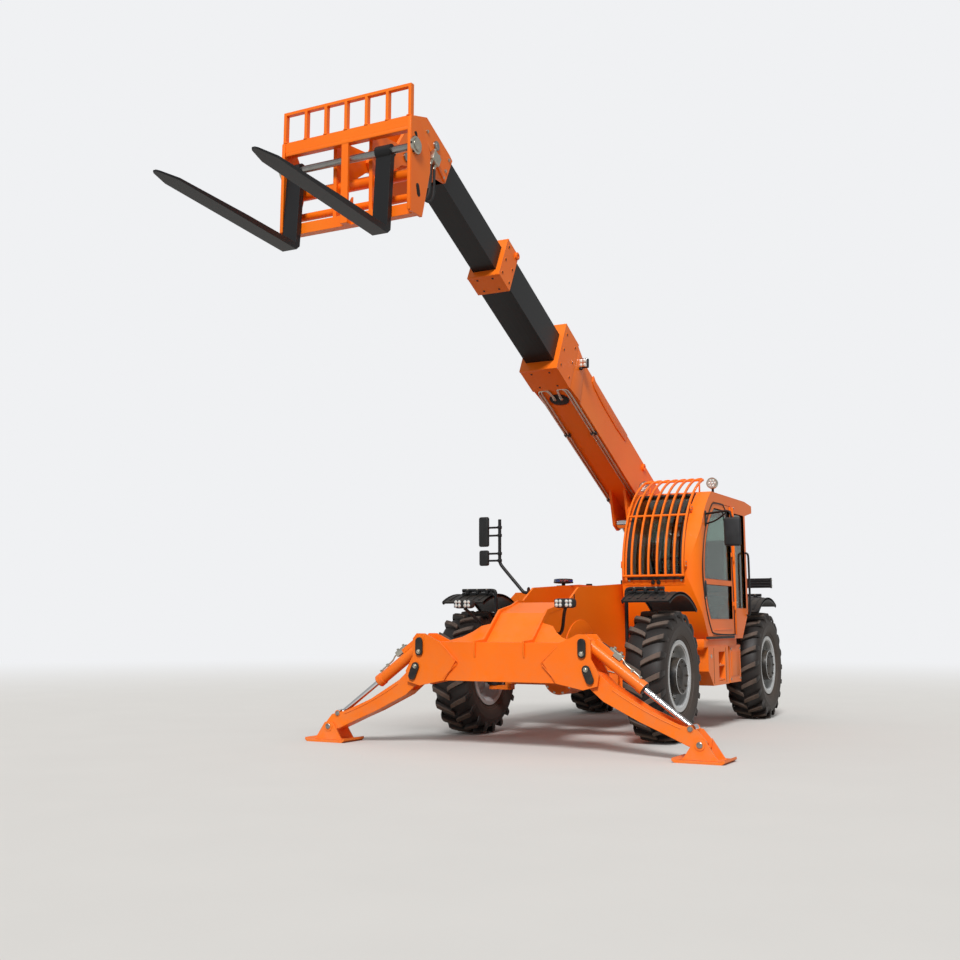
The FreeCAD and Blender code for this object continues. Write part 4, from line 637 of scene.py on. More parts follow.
def lug(width, lean):
    """One lug at the bottom of a tyre, from its nose at the middle over the shoulder and down the wall."""
    shape = bmesh.new()
    bmesh.ops.create_cube(shape, size=1)
    long_edges = [line for line in shape.edges if abs(line.verts[0].co.y - line.verts[1].co.y) > 0.5]
    bmesh.ops.subdivide_edges(shape, edges=long_edges, cuts=LUG_LENGTHS)
    for vert in shape.verts:
        across, along, top = vert.co.x, vert.co.y + 0.5, vert.co.z < 0
        reach, tail = min(along / 0.8, 1), max(along - 0.8, 0) / 0.2
        side = -0.004 + 0.19 * reach + (0.012 if top else -0.012) * tail
        radius = CROWN - SHOULDER_DROP * reach ** 2 - 0.1 * tail if top else ROOT - 0.07 * tail
        half = width * (0.42 + 0.12 * reach) + (0 if top else 0.009)
        angle = -math.pi / 2 + lean * (along ** 0.85 - 0.5) + across * 2 * half / CROWN
        vert.co = (radius * math.cos(angle), side, radius * math.sin(angle))
    bmesh.ops.recalc_face_normals(shape, faces=shape.faces)
    sharp = [line for line in shape.edges if line.calc_face_angle(0) > 0.7]
    ease(shape, sharp, 0.0035, 1)
    return shape


WALL = ((0.306, 0.149), (0.336, 0.15), (0.343, 0.16), (0.352, 0.163), (0.36, 0.172), (0.372, 0.174),
        (0.376, 0.181), (0.4, 0.19), (0.43, 0.1965), (0.46, 0.1985), (0.464, 0.2), (0.47, 0.2),
        (0.474, 0.1975),
        (0.5, 0.195), (0.526, 0.184), (0.546, 0.162), (0.561, 0.12), (0.569, 0.06))


def make_tyre(wheel, tyres):
    piece = Piece(f"tyre_dressed_{wheel}", wheel_place(wheel))
    loop = list(WALL) + [(0.571, 0)] + [(radius, -along) for radius, along in reversed(WALL)]
    piece.put(turned(loop, 96, closed=True), tyre_finish(wheel), OUTBOARD)
    pitch = math.tau / tyres.lugs
    for half in BOTH:
        row = lug(tyres.lug_width, tyres.lug_lean)
        bmesh.ops.spin(row, geom=row.verts[:] + row.edges[:] + row.faces[:], cent=(0, 0, 0),
                       axis=(0, 1, 0),
                       angle=math.tau - pitch, steps=tyres.lugs - 1, use_duplicate=True)
        turn = Matrix.Rotation(0 if half is ORIGIN else pitch / 2, 4, "Y")
        piece.put(row, tyre_finish(wheel), turn @ half)
    return piece.done(f"wheel_{wheel}", "tyre_rubber", f"tyre_{wheel}")


HUB = ((0, 0.1975), (0.03, 0.1975), (0.034, 0.1945), (0.05, 0.1945), (0.053, 0.1925), (0.15, 0.1925),
       (0.163, 0.1895), (0.1675, 0.183), (0.1675, 0.128), (0.1735, 0.126), (0.1735, 0.112),
       (0.1675, 0.11),
       (0.1675, 0.078), (0.19, 0.074), (0.194, 0.07), (0.194, 0.0545), (0, 0.0545))
STEP_RING = ((0.292, 0.158), (0.281, 0.154), (0.278, 0.128), (0.284, 0.1), (0.292, 0.096))
LIP = ((0.305, 0.164), (0.312, 0.1655), (0.326, 0.168), (0.3315, 0.166), (0.3315, 0.15), (0.305, 0.15))


def ring_of(count, radius, out, first=0.0):
    """Places on a circle about an axle, each facing outboard."""
    angles = [math.tau * (step + first) / count for step in range(count)]
    return [OUTBOARD @ at(radius * math.cos(angle), radius * math.sin(angle), out) for angle in angles]


def make_hub(wheel, tyres):
    piece = Piece(f"hub_{wheel}", wheel_place(wheel))
    piece.put(turned(HUB, 64), BLACK, OUTBOARD)
    piece.put(turned(STEP_RING, 72, closed=True), SILVER, OUTBOARD)
    piece.put(turned(LIP, 72, closed=True), SILVER, OUTBOARD)
    seat = turned(((0.012, 0), (0.026, 0), (0.026, 0.004), (0.019, 0.011), (0.012, 0.011)), 16,
                  closed=True)
    nuts = ring_of(tyres.wheel_nuts, 0.232, 0.054)
    piece.put(seat, ZINC, *nuts)
    piece.put(bolt(0.034), ZINC, *[nut @ at(0, 0, 0.006) for nut in nuts])
    piece.put(drum(0.011, 0.042, 10), STEEL, *nuts)
    piece.put(bolt(0.02), ZINC, *ring_of(12, 0.182, 0.07, 0.5))
    piece.put(bolt(0.018), BLACK, *ring_of(8, 0.132, 0.1925))
    valve = OUTBOARD @ at(0.268, 0, 0.054)
    piece.put(drum(0.009, 0.05, 12), RUBBER, valve)
    piece.put(drum(0.006, 0.014, 10), ZINC, valve @ at(0, 0, 0.05))
    return piece.done(f"wheel_{wheel}", "silver_paint")


FENDER_TOP = 0.776


def make_mudguard(wheel, fittings):
    """Ribs and rolled lips on a mudguard, and the clamps that hold it to its pipe."""
    front = wheel.startswith("front")
    middle = pin(f"roll_{wheel}")
    start, sweep = (63.5, 64) if front else (52.5, 64)
    piece = Piece(f"mudguard_trim_{wheel}", at(middle.x, 0, middle.z) @ (ORIGIN if middle.y > 0 else MIRROR))
    for y in (0.8, 0.88, 0.965, 1.05, 1.13):
        rib = hoop(((FENDER_TOP - 0.002, y - 0.015), (FENDER_TOP + 0.007, y - 0.009),
                    (FENDER_TOP + 0.007, y + 0.009), (FENDER_TOP - 0.002, y + 0.015)), start + 3,
                   sweep - 6, 28)
        piece.put(rib, BLACK)
    for y in (0.736, 1.194):
        lip = hoop(bar_section(FENDER_TOP - 0.03, FENDER_TOP + 0.006, y - 0.006, y + 0.006), start, sweep,
                   28)
        piece.put(lip, BLACK)
    reach = 0.135 if front else -0.135
    rail = [(reach, 0.7, 0.5), (reach, 0.7, 0.7), (reach, 0.7, 0.8), (reach, 0.735, 0.812),
            (reach, 0.8, 0.812),
            (reach, 1.08, 0.812)]
    piece.put(pipe(rail, 0.018), BLACK)
    for y in (0.79, 0.9, 1.01):
        clamp = at(reach, y, 0.794)
        piece.put(slab(0.07, 0.034, 0.044, 0.006), BLACK, clamp)
        for end in (-0.026, 0.026):
            piece.put(bolt(fittings.small_bolt), ZINC, clamp @ at(end, 0, 0.022))
    return piece.done(f"knuckle_{wheel}", "black_paint")


# The boom


BASE_SIDE, BASE_LOW, BASE_HIGH = 0.19, -0.165, 0.285
COLLARS = (
    # Where it starts and ends, its side, underside and top, its bolts along and up, and what carries it.
    ("base", 4.405, 4.75, 0.202, -0.197, 0.353, (4.47, 4.685), (-0.11, 0.075, 0.262), "boom_base"),
    ("mid", 5.825, 6.065, 0.162, -0.1345, 0.2905, (5.872, 6.018), (-0.075, 0.078, 0.23), "boom_mid"),
)


def make_collar_bolts(fittings):
    for name, low, high, side, under, top, along, up, body in COLLARS:
        piece = Piece(f"collar_bolts_{name}", BOOM)
        places = []
        for x in along:
            for z in up:
                places += [facing((x, side, z), (0, 1, 0)), facing((x, -side, z), (0, -1, 0))]
            for y in (-side * 0.48, side * 0.48):
                places += [facing((x, y, under), (0, 0, -1)), facing((x, y, top), (0, 0, 1))]
        piece.put(turned(((0, 0.003), (0.016, 0.003), (0.019, 0), (0, 0)), 20), ORANGE, *places)
        # Painted shade: a dark hexagon on each boss stands for the shade in its bolt hole.
        piece.put(drum(fittings.bolt * 0.38, 0.0045, 6, 0), SHADE_AND_SCREEN_BLACK, *places)
        # Weld round the collar's back edge, and a stop block on its top.
        bead = slab(0.012, side * 2 - 0.01, 0.012, 0.005)
        piece.put(bead, ORANGE, at(low, 0, under + 0.028), at(low, 0, top - 0.064))
        rim = slab(0.02, side * 2 + 0.004, 0.02, 0.003)
        piece.put(rim, ORANGE, at(high - 0.012, 0, top - 0.006), at(high - 0.012, 0, under + 0.006))
        piece.done(body, "orange_paint")


def make_boom_pipes():
    """Steel pipes in pairs along the base's lower edges, with their clamps and end fittings."""
    piece = Piece("boom_pipes", BOOM)
    for y in (0.132, 0.164, -0.132, -0.164):
        turn_in = 0.25 * y
        line = [(0.75, y, BASE_LOW - 0.016), (2.4, y, BASE_LOW - 0.016), (4.2, y, BASE_LOW - 0.016),
                (4.36, y, BASE_LOW - 0.016), (4.39, y * 0.8, BASE_LOW - 0.018),
                (4.39, y * 0.45, BASE_LOW - 0.018),
                (4.36, turn_in + y * 0.08, BASE_LOW - 0.016), (4.26, turn_in, BASE_LOW - 0.012)]
        piece.put(pipe(line, 0.0085), ZINC)
        piece.put(drum(0.014, 0.05, 6, 0.001), ZINC, facing((0.75, y, BASE_LOW - 0.016), (1, 0, 0)))
        piece.put(drum(0.014, 0.045, 6, 0.001), ZINC, facing((4.215, turn_in, BASE_LOW - 0.012),
                                                             (1, 0, 0)))
    for x in (1.1, 2.3, 3.6):
        for y in (0.148, -0.148):
            piece.put(slab(0.045, 0.068, 0.026, 0.004), PLASTIC, at(x, y, BASE_LOW - 0.013))
            piece.put(bolt(0.014), ZINC, facing((x, y, BASE_LOW - 0.026), (0, 0, -1)))
    return piece.done("boom_base", "pin_steel")


def make_boom_plates():
    """Doubler plates, the hose window below the base, the work lamp and the lifting lug."""
    piece = Piece("boom_plates", BOOM)
    doubler = plate([(2.88, 0.284), (2.9, 0.19), (3.2, 0.168), (3.6, 0.175), (3.88, 0.2), (3.94, 0.235),
                     (3.95, 0.3), (3.93, 0.304), (3.88, 0.284)], 0.01)
    out = at(0, BASE_SIDE - 0.001, 0) @ UPRIGHT_LEFT
    piece.put(doubler, ORANGE, out, MIRROR @ out)
    flare = plate([(4.12, BASE_LOW + 0.01), (4.405, BASE_LOW - 0.02), (4.405, BASE_HIGH + 0.05),
                   (4.2, BASE_HIGH - 0.01)], 0.01)
    piece.put(flare, ORANGE, out, MIRROR @ out)
    under = facing((4.2, 0, BASE_LOW + 0.001), (0, 0, -1))
    # Painted shade: the window is a dark sheet laid on the base's underside, standing for the shade in the
    # opening.
    piece.put(plate(rounded_slot(0.21, 0.17), 0.004), SHADE_AND_SCREEN_BLACK, under)
    piece.put(surround(rounded_slot(0.222, 0.182), 0.008, 0.006), ORANGE, under)
    # Lifting lug on the base's left side.
    eye = turned(((0.018, 0), (0.042, 0), (0.042, 0.02), (0.018, 0.02)), 24, closed=True)
    piece.put(eye, ORANGE, facing((2.3, BASE_SIDE - 0.002, 0.235), (0, 1, 0)))
    # Square work lamp beside the collar.
    lamp = at(4.285, 0.235, 0.205) @ Matrix.Rotation(math.radians(24), 4, "Y")
    piece.put(slab(0.05, 0.1, 0.1, 0.012, 3), PLASTIC, lamp)
    piece.put(slab(0.008, 0.084, 0.084, 0.004), REFLECTOR, lamp @ at(0.024, 0, 0))
    # Its four diodes take the finish with a painted glow.
    for y in (-0.02, 0.02):
        for z in (-0.02, 0.02):
            piece.put(turned(((0, 0.008), (0.01, 0.006), (0.016, 0), (0, -0.001)), 16), DIODE,
                      lamp @ facing((0.028, y, z), (1, 0, 0)))
    piece.put(slab(0.03, 0.05, 0.018, 0.003), BLACK, at(4.285, 0.205, 0.14))
    return piece.done("boom_base", "orange_paint")


def make_boom_tail():
    """The pivot's keeper plates and bolts on the frame's posts."""
    piece = Piece("boom_pivot_trim")
    pivot = pin("boom_lift")
    for side in (1, -1):
        end = facing((pivot.x, side * 0.295, pivot.z), (0, side, 0))
        piece.put(turned(((0, 0.004), (0.03, 0.004), (0.034, 0.001), (0.048, 0.001), (0.052, -0.002),
                          (0, -0.002)), 32),
                  STEEL, end)
        keeper = facing((pivot.x, side * 0.2805, pivot.z + 0.062), (0, side, 0))
        piece.put(plate([(-0.06, -0.016), (0.06, -0.016), (0.06, 0.02), (-0.06, 0.02)], 0.01), BLACK,
                  keeper)
        for x in (-0.042, 0.042):
            piece.put(bolt(0.022), ZINC, keeper @ at(x, 0.003, 0.01))
        for angle in range(0, 360, 45):
            reach = Vector((math.cos(math.radians(angle)), 0, math.sin(math.radians(angle)))) * 0.082
            if angle != 90:
                piece.put(bolt(0.018), ZINC, facing(Vector((pivot.x, side * 0.28, pivot.z)) + reach,
                                                    (0, side, 0)))
    return piece.done("chassis", "pin_steel")


# The side of the boom head's cheeks and of its valve block, from the boom's middle.
CHEEK, BLOCK_SIDE = 0.1385, 0.168


def make_head(fittings):
    """The boom head's bosses, bolts, valve block, fittings and hoses."""
    piece = Piece("boom_head_trim", BOOM)
    for side in (1, -1):
        def cheek(x, z, side=side):
            return facing((x, side * CHEEK, z), (0, side, 0))
        boss = ((0.036, 0), (0.062, 0), (0.062, 0.01), (0.056, 0.014), (0.036, 0.014))
        piece.put(turned(boss, 32, closed=True), ORANGE, cheek(7.74, -0.4))
        piece.put(turned(((0, 0.022), (0.02, 0.022), (0.028, 0.012), (0.04, 0.012), (0.042, 0), (0, 0)),
                         28), STEEL,
                  cheek(7.4, 0.1))
        piece.put(turned(((0, 0.014), (0.03, 0.014), (0.034, 0), (0, 0)), 28), STEEL, cheek(7.36, -0.3))
        for x, z in ((7.19, 0.15), (7.19, 0.02), (7.19, -0.06), (7.56, 0.1), (7.66, -0.02), (7.5, -0.12),
                     (7.45, -0.44)):
            piece.put(bolt(0.024), ZINC, cheek(x, z))
        rib = plate([(7.16, -0.085), (7.5, -0.02), (7.72, -0.22), (7.74, -0.2), (7.51, 0.012),
                     (7.16, -0.06)], 0.012)
        out = at(0, CHEEK + 0.0005, 0) @ UPRIGHT_LEFT
        piece.put(rib, ORANGE, out if side == 1 else MIRROR @ out)
    block = at(7.4, BLOCK_SIDE, -0.06)
    piece.put(slab(0.11, 0.055, 0.09, 0.005), ZINC, block)
    for x in (-0.03, 0.03):
        fitting = block @ facing((x, 0, -0.045), (0, 0, -1))
        piece.put(drum(0.016, 0.024, 6, 0.001), ZINC, fitting)
        piece.put(drum(0.013, 0.026, 16), ZINC, fitting @ at(0, 0, 0.024))
    for x, drop in ((-0.03, 0.0), (0.03, 0.03)):
        hose = [(7.4 + x, BLOCK_SIDE, -0.13), (7.37 + x, 0.17, -0.2), (7.3 + x, 0.174, -0.36 - drop),
                (7.33 + x, 0.174, -0.47 - drop), (7.43 + x, 0.168, -0.5 - drop),
                (7.5, 0.155, -0.46 - drop),
                (7.53, 0.148, -0.4 - drop)]
        piece.put(pipe(hose, fittings.hose), RUBBER)
    for x in (7.43, 7.36):
        piece.put(drum(0.013, 0.03, 12), ZINC, at(x, BLOCK_SIDE, -0.012))
    return piece.done("boom_tip", "orange_paint")


def make_mid_boss():
    """The chain anchor bosses behind the middle section's collar."""
    piece = Piece("chain_anchors", BOOM)
    ring = ((0.016, 0), (0.036, 0), (0.036, 0.018), (0.03, 0.022), (0.016, 0.022))
    for side in (1, -1):
        piece.put(turned(ring, 24, closed=True), ORANGE, facing((5.862, side * 0.16, 0.256),
                                                                (0, side, 0)))
    return piece.done("boom_mid", "orange_paint")


def make_boom(fittings):
    make_collar_bolts(fittings)
    make_boom_pipes()
    make_boom_plates()
    make_boom_tail()
    make_head(fittings)
    make_mid_boss()


# The fork carriage, from the middle of its shaft


HALF, FACE, TOP, BOTTOM = 0.58, 0.05, 0.22, -0.507


def make_carriage():
    piece = Piece("carriage_trim", SHAFT)
    outside = axes((0, HALF, 0), (-1, 0, 0), (0, 0, 1))
    for half in BOTH:
        # Flange bars down the front edges, then the holes of the side plates.
        bar = half @ at(FACE + 0.004, HALF - 0.015, (TOP + BOTTOM) / 2)
        piece.put(slab(0.012, 0.026, TOP - BOTTOM - 0.02, 0.003), ORANGE, bar)
        # Painted shade: the oval and crescent holes are dark sheets laid on the side plate.
        oval = half @ outside @ at(0.05, -0.32, 0) @ Matrix.Rotation(math.radians(14), 4, "Z")
        piece.put(plate(rounded_slot(0.1, 0.045), 0.002), SHADE_AND_SCREEN_BLACK, oval)
        crescent = plate([(-0.012, 0.1), (0.012, 0.118), (0.03, 0.105), (0.036, 0.075), (0.02, 0.072),
                          (0.004, 0.08)],
                         0.002)
        piece.put(crescent, SHADE_AND_SCREEN_BLACK, half @ outside)
    # Lip under the top beam, weld beads at the guard's posts.
    piece.put(slab(0.012, 2 * HALF - 0.06, 0.03, 0.003), ORANGE, at(FACE - 0.004, 0, TOP - 0.095))
    for y in (-0.553, -0.367, -0.184, 0, 0.184, 0.367, 0.553):
        piece.put(slab(0.05, 0.034, 0.012, 0.005), ORANGE, at(0.03, y, TOP + 0.003))
    # Wedge that braces the centre post.
    wedge = plate([(0, 0), (0.10, 0), (0, 0.16)], 0.02)
    piece.put(wedge, ORANGE, at(-0.06, 0.01, BOTTOM + 0.075) @ Matrix.Rotation(math.pi / 2, 4, "X"))
    piece.done("carriage", "orange_paint")
    ends = Piece("shaft_nuts", SHAFT)
    ring = ((0.049, 0), (0.066, 0), (0.066, 0.016), (0.06, 0.02), (0.049, 0.02))
    dome = ((0, 0.036), (0.014, 0.0345), (0.026, 0.031), (0.03, 0.0285), (0.047, 0.0285), (0.048, 0.02),
            (0, 0.02))
    for side in (1, -1):
        place = facing((0, side * (HALF + 0.001), 0), (0, side, 0))
        ends.put(turned(ring, 32, closed=True), ZINC, place)
        ends.put(turned(dome, 32), ZINC, place)
        # Painted shade: dark blocks in the ring's notches stand for the shade inside them.
        for angle in range(0, 360, 60):
            spot = (0.0655 * math.cos(math.radians(angle)), 0.0655 * math.sin(math.radians(angle)), 0.009)
            notch = place @ at(*spot) @ Matrix.Rotation(math.radians(angle), 4, "Z")
            ends.put(slab(0.006, 0.014, 0.014, 0.001), SHADE_AND_SCREEN_BLACK, notch)
    ends.done("carriage", "pin_steel")


def make_nose_pin():
    piece = Piece("nose_pin_keepers")
    middle = pin("fork_level")
    for side in (1, -1):
        end = facing((middle.x, side * 0.178, middle.z), (0, side, 0))
        piece.put(turned(((0, 0.014), (0.022, 0.014), (0.03, 0.0125), (0.034, 0.008), (0.037, 0.008),
                          (0.037, 0.003),
                          (0, 0.003)), 28), STEEL, end)
    return piece.done("nose", "pin_steel")


# The cab, from the middle of the wheelbase


CAB_IN, CAB_OUT, FLOOR, ROOF, BACK = 0.30, 1.13, 0.93, 2.47, -0.95
NOSE_X, NOSE_Z, NOSE_R = -0.17, 1.62, 0.98
NOSE = at(NOSE_X, 0, NOSE_Z)


def on_nose(degrees, y, radius=NOSE_R):
    """A point on the cab's curved front, so many degrees above level."""
    angle = math.radians(degrees)
    return (NOSE_X + radius * math.cos(angle), y, NOSE_Z + radius * math.sin(angle))


def arc_points(radius, low, high, steps=9):
    """Points (x, z) on a circle about the nose's middle, from one height up to another."""
    first, last = math.asin((low - NOSE_Z) / radius), math.asin((high - NOSE_Z) / radius)
    angles = [first + (last - first) * step / steps for step in range(steps + 1)]
    return [(NOSE_X + radius * math.cos(angle), NOSE_Z + radius * math.sin(angle)) for angle in angles]


DOOR_PANES = (
    [(-0.32, 1.14)] + arc_points(0.79, 1.14, 1.49, 4) + [(-0.32, 1.49)],
    [(-0.32, 1.55)] + arc_points(0.79, 1.55, 2.3, 9) + [(-0.32, 2.3)],
)


def make_cab_seals(fittings):
    width = fittings.seal
    door = Piece("door_seals", MIDDLE)
    for pane in DOOR_PANES:
        door.put(surround(pane, width, 0.024), RUBBER, at(0, 1.1085, 0) @ UPRIGHT_LEFT)
    door.done("door", "black_plastic")
    piece = Piece("cab_seals", MIDDLE)
    quarter = [(-0.875, 1.26), (-0.46, 1.26), (-0.46, 2.3), (-0.875, 2.3)]
    piece.put(surround(quarter, width, 0.024), RUBBER, at(0, 1.1085, 0) @ UPRIGHT_LEFT)
    inner = [(-0.79, 1.61), (0.09, 1.61), (0.09, 2.3), (-0.79, 2.3)]
    piece.put(surround(inner, width, 0.022), RUBBER, at(0, CAB_IN + 0.0215, 0) @ UPRIGHT)
    rear = [(-1.02, 1.55), (-0.41, 1.55), (-0.41, 2.3), (-1.02, 2.3)]
    piece.put(surround(rear, width, 0.022), RUBBER, at(BACK + 0.0215, 0, 0) @ UPRIGHT
              @ Matrix.Rotation(-math.pi / 2, 4, "Y"))
    # Rubber and black border round the rolled windscreen.
    for low, high in ((0.355, 0.395), (0.93, 0.975)):
        strip = hoop(bar_section(0.9625, 0.982, low, high), -4.0, 61.5, 40)
        piece.put(strip, RUBBER, NOSE)
    # Rubber in the gap round the door.
    front = arc_points(0.863, 0.972, 2.363, 16)
    ring = [(-0.393, 0.972)] + front + [(-0.393, 2.363)]
    gasket = pipe([(x, CAB_OUT + 0.001, z) for x, z in ring + ring[:1]], 0.008)
    piece.put(gasket, RUBBER)
    for start, sweep in ((-5.0, 3.1), (55.8, 2.2)):
        bar = hoop(bar_section(0.9625, 0.982, 0.36, 0.97), start, sweep, 2)
        piece.put(bar, RUBBER, NOSE)
    # Sill rubber below the door.
    piece.put(slab(1.0, 0.01, 0.026, 0.004), RUBBER, at(0.13, CAB_OUT + 0.001, FLOOR + 0.018))
    return piece.done("chassis", "black_plastic")


def make_cab_trim(fittings):
    piece = Piece("cab_trim", MIDDLE)
    # Pressed louvres below the windscreen.
    for step in range(7):
        y = 0.388 + step * 0.087
        slot = hoop(bar_section(0.978, 0.986, y - 0.033, y + 0.033), -7.6, 1.6, 2)
        piece.put(slot, ORANGE, NOSE)
    shelf = hoop(bar_section(0.978, 0.985, 0.335, 0.975), -8.2, 0.5, 1)
    piece.put(shelf, ORANGE, NOSE)
    # Hinge pillar and its bar.
    piece.put(slab(0.034, 0.02, 1.38, 0.006), ORANGE, at(-0.432, CAB_OUT + 0.008, 1.66))
    piece.put(bolt(fittings.small_bolt), ZINC, *spots((-0.432,), CAB_OUT + 0.017, (1.32, 1.85, 2.35), 1))
    # Grab rail behind the door.
    rail = [(-0.9, 1.128, 1.18), (-0.9, 1.15, 1.18), (-0.9, 1.168, 1.2), (-0.9, 1.17, 1.3),
            (-0.9, 1.17, 1.75),
            (-0.9, 1.168, 1.86), (-0.9, 1.15, 1.88), (-0.9, 1.128, 1.88)]
    piece.put(pipe(rail, 0.012), BLACK)
    # Pressed ribs on the roof.
    for y in (0.45, 0.6, 0.83, 0.98):
        piece.put(slab(0.8, 0.05, 0.008, 0.004, 3), ORANGE, at(-0.38, y, ROOF + 0.002))
    # Bolts that hold the guard's brackets.
    for y in (0.38, 0.94):
        spot = on_nose(-5.5, y, NOSE_R + 0.002)
        piece.put(bolt(fittings.small_bolt), ZINC, facing(spot, (1, 0, -0.1)))
    # Brackets at the guard's sides.
    for y in (0.318, 1.002):
        for angle in (4, 40):
            place = NOSE @ Matrix.Rotation(-math.radians(angle), 4, "Y") @ at(1.012, y, 0)
            piece.put(slab(0.07, 0.008, 0.07, 0.003), ORANGE, place)
            for z in (-0.02, 0.02):
                piece.put(bolt(0.014), ZINC, place @ facing((0.004, 0.004 if y > 0.6 else -0.004, z),
                                                            (0, 1 if y > 0.6 else -1, 0)))
    return piece.done("chassis", "orange_paint")


def make_guard_loops():
    """The short loops that join the guard's bars over its top rail."""
    piece = Piece("guard_loops", MIDDLE)
    first, last = 0.34, 0.98
    gap = (last - first) / 7
    for bar in range(7):
        y = first + gap * bar
        top = [on_nose(72.5, y, 1.04), on_nose(75.4, y + gap * 0.04, 1.046),
               on_nose(77.2, y + gap * 0.5, 1.05),
               on_nose(75.4, y + gap * 0.96, 1.046), on_nose(72.5, y + gap, 1.04)]
        piece.put(pipe(top, 0.008), ORANGE)
    return piece.done("chassis", "orange_paint")


def make_wipers():
    piece = Piece("wipers", MIDDLE)
    for pivot_y, tip_y in ((0.64, 0.6), (0.7, 0.72)):
        base = facing(on_nose(-6.5, pivot_y, 0.976), (1, 0, -0.1))
        piece.put(turned(((0, 0.03), (0.014, 0.03), (0.02, 0.024), (0.022, 0), (0, 0)), 20), PLASTIC,
                  base)
        arm = [on_nose(-6.5, pivot_y, 1.003), on_nose(-2, pivot_y, 1.008),
               on_nose(4, (pivot_y + tip_y) / 2, 1.0),
               on_nose(9, tip_y, 0.99), on_nose(12, tip_y, 0.978)]
        piece.put(pipe(arm, 0.011), PLASTIC)
        blade = hoop(((0.9635, tip_y - 0.004), (0.98, tip_y - 0.011), (0.98, tip_y + 0.011),
                      (0.9635, tip_y + 0.004)),
                     1, 24, 14)
        piece.put(blade, RUBBER, NOSE)
    return piece.done("chassis", "black_plastic")


def make_door_trim():
    piece = Piece("door_trim", MIDDLE)
    handle = facing((0.628, CAB_OUT - 0.001, 1.43), (0, 1, 0), -8)
    piece.put(plate(rounded_slot(0.2, 0.062), 0.008, 0.003), PLASTIC, handle)
    # Painted shade: a dark sheet on the handle's plate stands for the shade in the pocket behind the grip.
    piece.put(plate(rounded_slot(0.16, 0.04), 0.003), SHADE_AND_SCREEN_BLACK, handle @ at(0, 0, 0.0075))
    piece.put(slab(0.02, 0.12, 0.012, 0.005), PLASTIC, handle @ at(0, 0.005, 0.014))
    piece.put(turned(((0, 0.006), (0.009, 0.006), (0.012, 0), (0, 0)), 16), ZINC,
              handle @ at(0, -0.078, 0.006))
    # Pressed line below the lower pane.
    piece.put(plate([(-0.3, 1.02), (0.36, 1.02), (0.33, 1.035), (-0.3, 1.035)], 0.005, 0.002), ORANGE,
              at(0, CAB_OUT - 0.001, 0) @ UPRIGHT_LEFT)
    return piece.done("door", "black_plastic")


# How far a cushion's middle stands up.
CROWN_RISE = 0.012


def cushion_shape(size, crown):
    """A crowned cushion about the origin: it bulges at its middle and pulls in along its sides."""
    shape = bmesh.new()
    bmesh.ops.create_cube(shape, size=1)
    bmesh.ops.subdivide_edges(shape, edges=shape.edges[:], cuts=9, use_grid_fill=True)
    for vert in shape.verts:
        x, y, z = vert.co * 2
        middle = (1 - x * x) * (1 - y * y)
        pull = 1 - 0.05 * (1 - x * x) * (1 - z * z) - 0.05 * (1 - y * y) * (1 - z * z)
        # Two sewn channels across the cushion.
        channel = 0.012 * sum(math.exp(-((x - line) / 0.06) ** 2) for line in (-0.36,
                                                                               0.36)) * (1 - y ** 6)
        high = z * size[2] / 2 * (0.72 + 0.28 * middle ** 0.5) if z > 0 else z * size[2] / 2
        if z > 0.5:
            high += crown * middle - channel
        vert.co = (x * size[0] / 2 * pull, y * size[1] / 2 * pull, high)
    ease(shape, [line for line in shape.edges if line.calc_face_angle(0) > 0.8], 0.02, 3)
    return shape


def make_seat():
    middle = (CAB_IN + CAB_OUT) / 2
    floor = FLOOR + 0.06
    base = Piece("seat_base", MIDDLE)
    base.put(slab(0.4, 0.42, 0.05, 0.012), PLASTIC, at(-0.4, middle, floor + 0.27))
    base.put(slab(0.34, 0.36, 0.245, 0.03, 3), RUBBER, at(-0.4, middle, floor + 0.123))
    base.put(slab(0.3, 0.05, 0.03, 0.01), PLASTIC, at(-0.42, middle - 0.245, floor + 0.54),
             at(-0.42, middle + 0.245, floor + 0.54))
    base.put(slab(0.03, 0.36, 0.6, 0.014, 3), PLASTIC,
             at(-0.72, middle, floor + 0.74) @ Matrix.Rotation(math.radians(-11), 4, "Y"))
    # The slides' rails.
    base.put(slab(0.42, 0.03, 0.02, 0.003), ZINC, at(-0.4, middle - 0.14, floor + 0.305),
             at(-0.4, middle + 0.14, floor + 0.305))
    base.done("chassis", "black_plastic", "operator_seat")
    cushion = Piece("seat_cushion", MIDDLE)
    cushion.put(cushion_shape((0.5, 0.48, 0.1), CROWN_RISE), VINYL, at(-0.4, middle, floor + 0.355))
    cushion.done("chassis", "seat_vinyl")
    back = Piece("seat_back", MIDDLE)
    lean = Matrix.Rotation(math.radians(79), 4, "Y")
    back.put(cushion_shape((0.58, 0.46, 0.085), CROWN_RISE), VINYL,
             at(-0.665, middle, floor + 0.74) @ lean)
    back.done("chassis", "seat_vinyl")


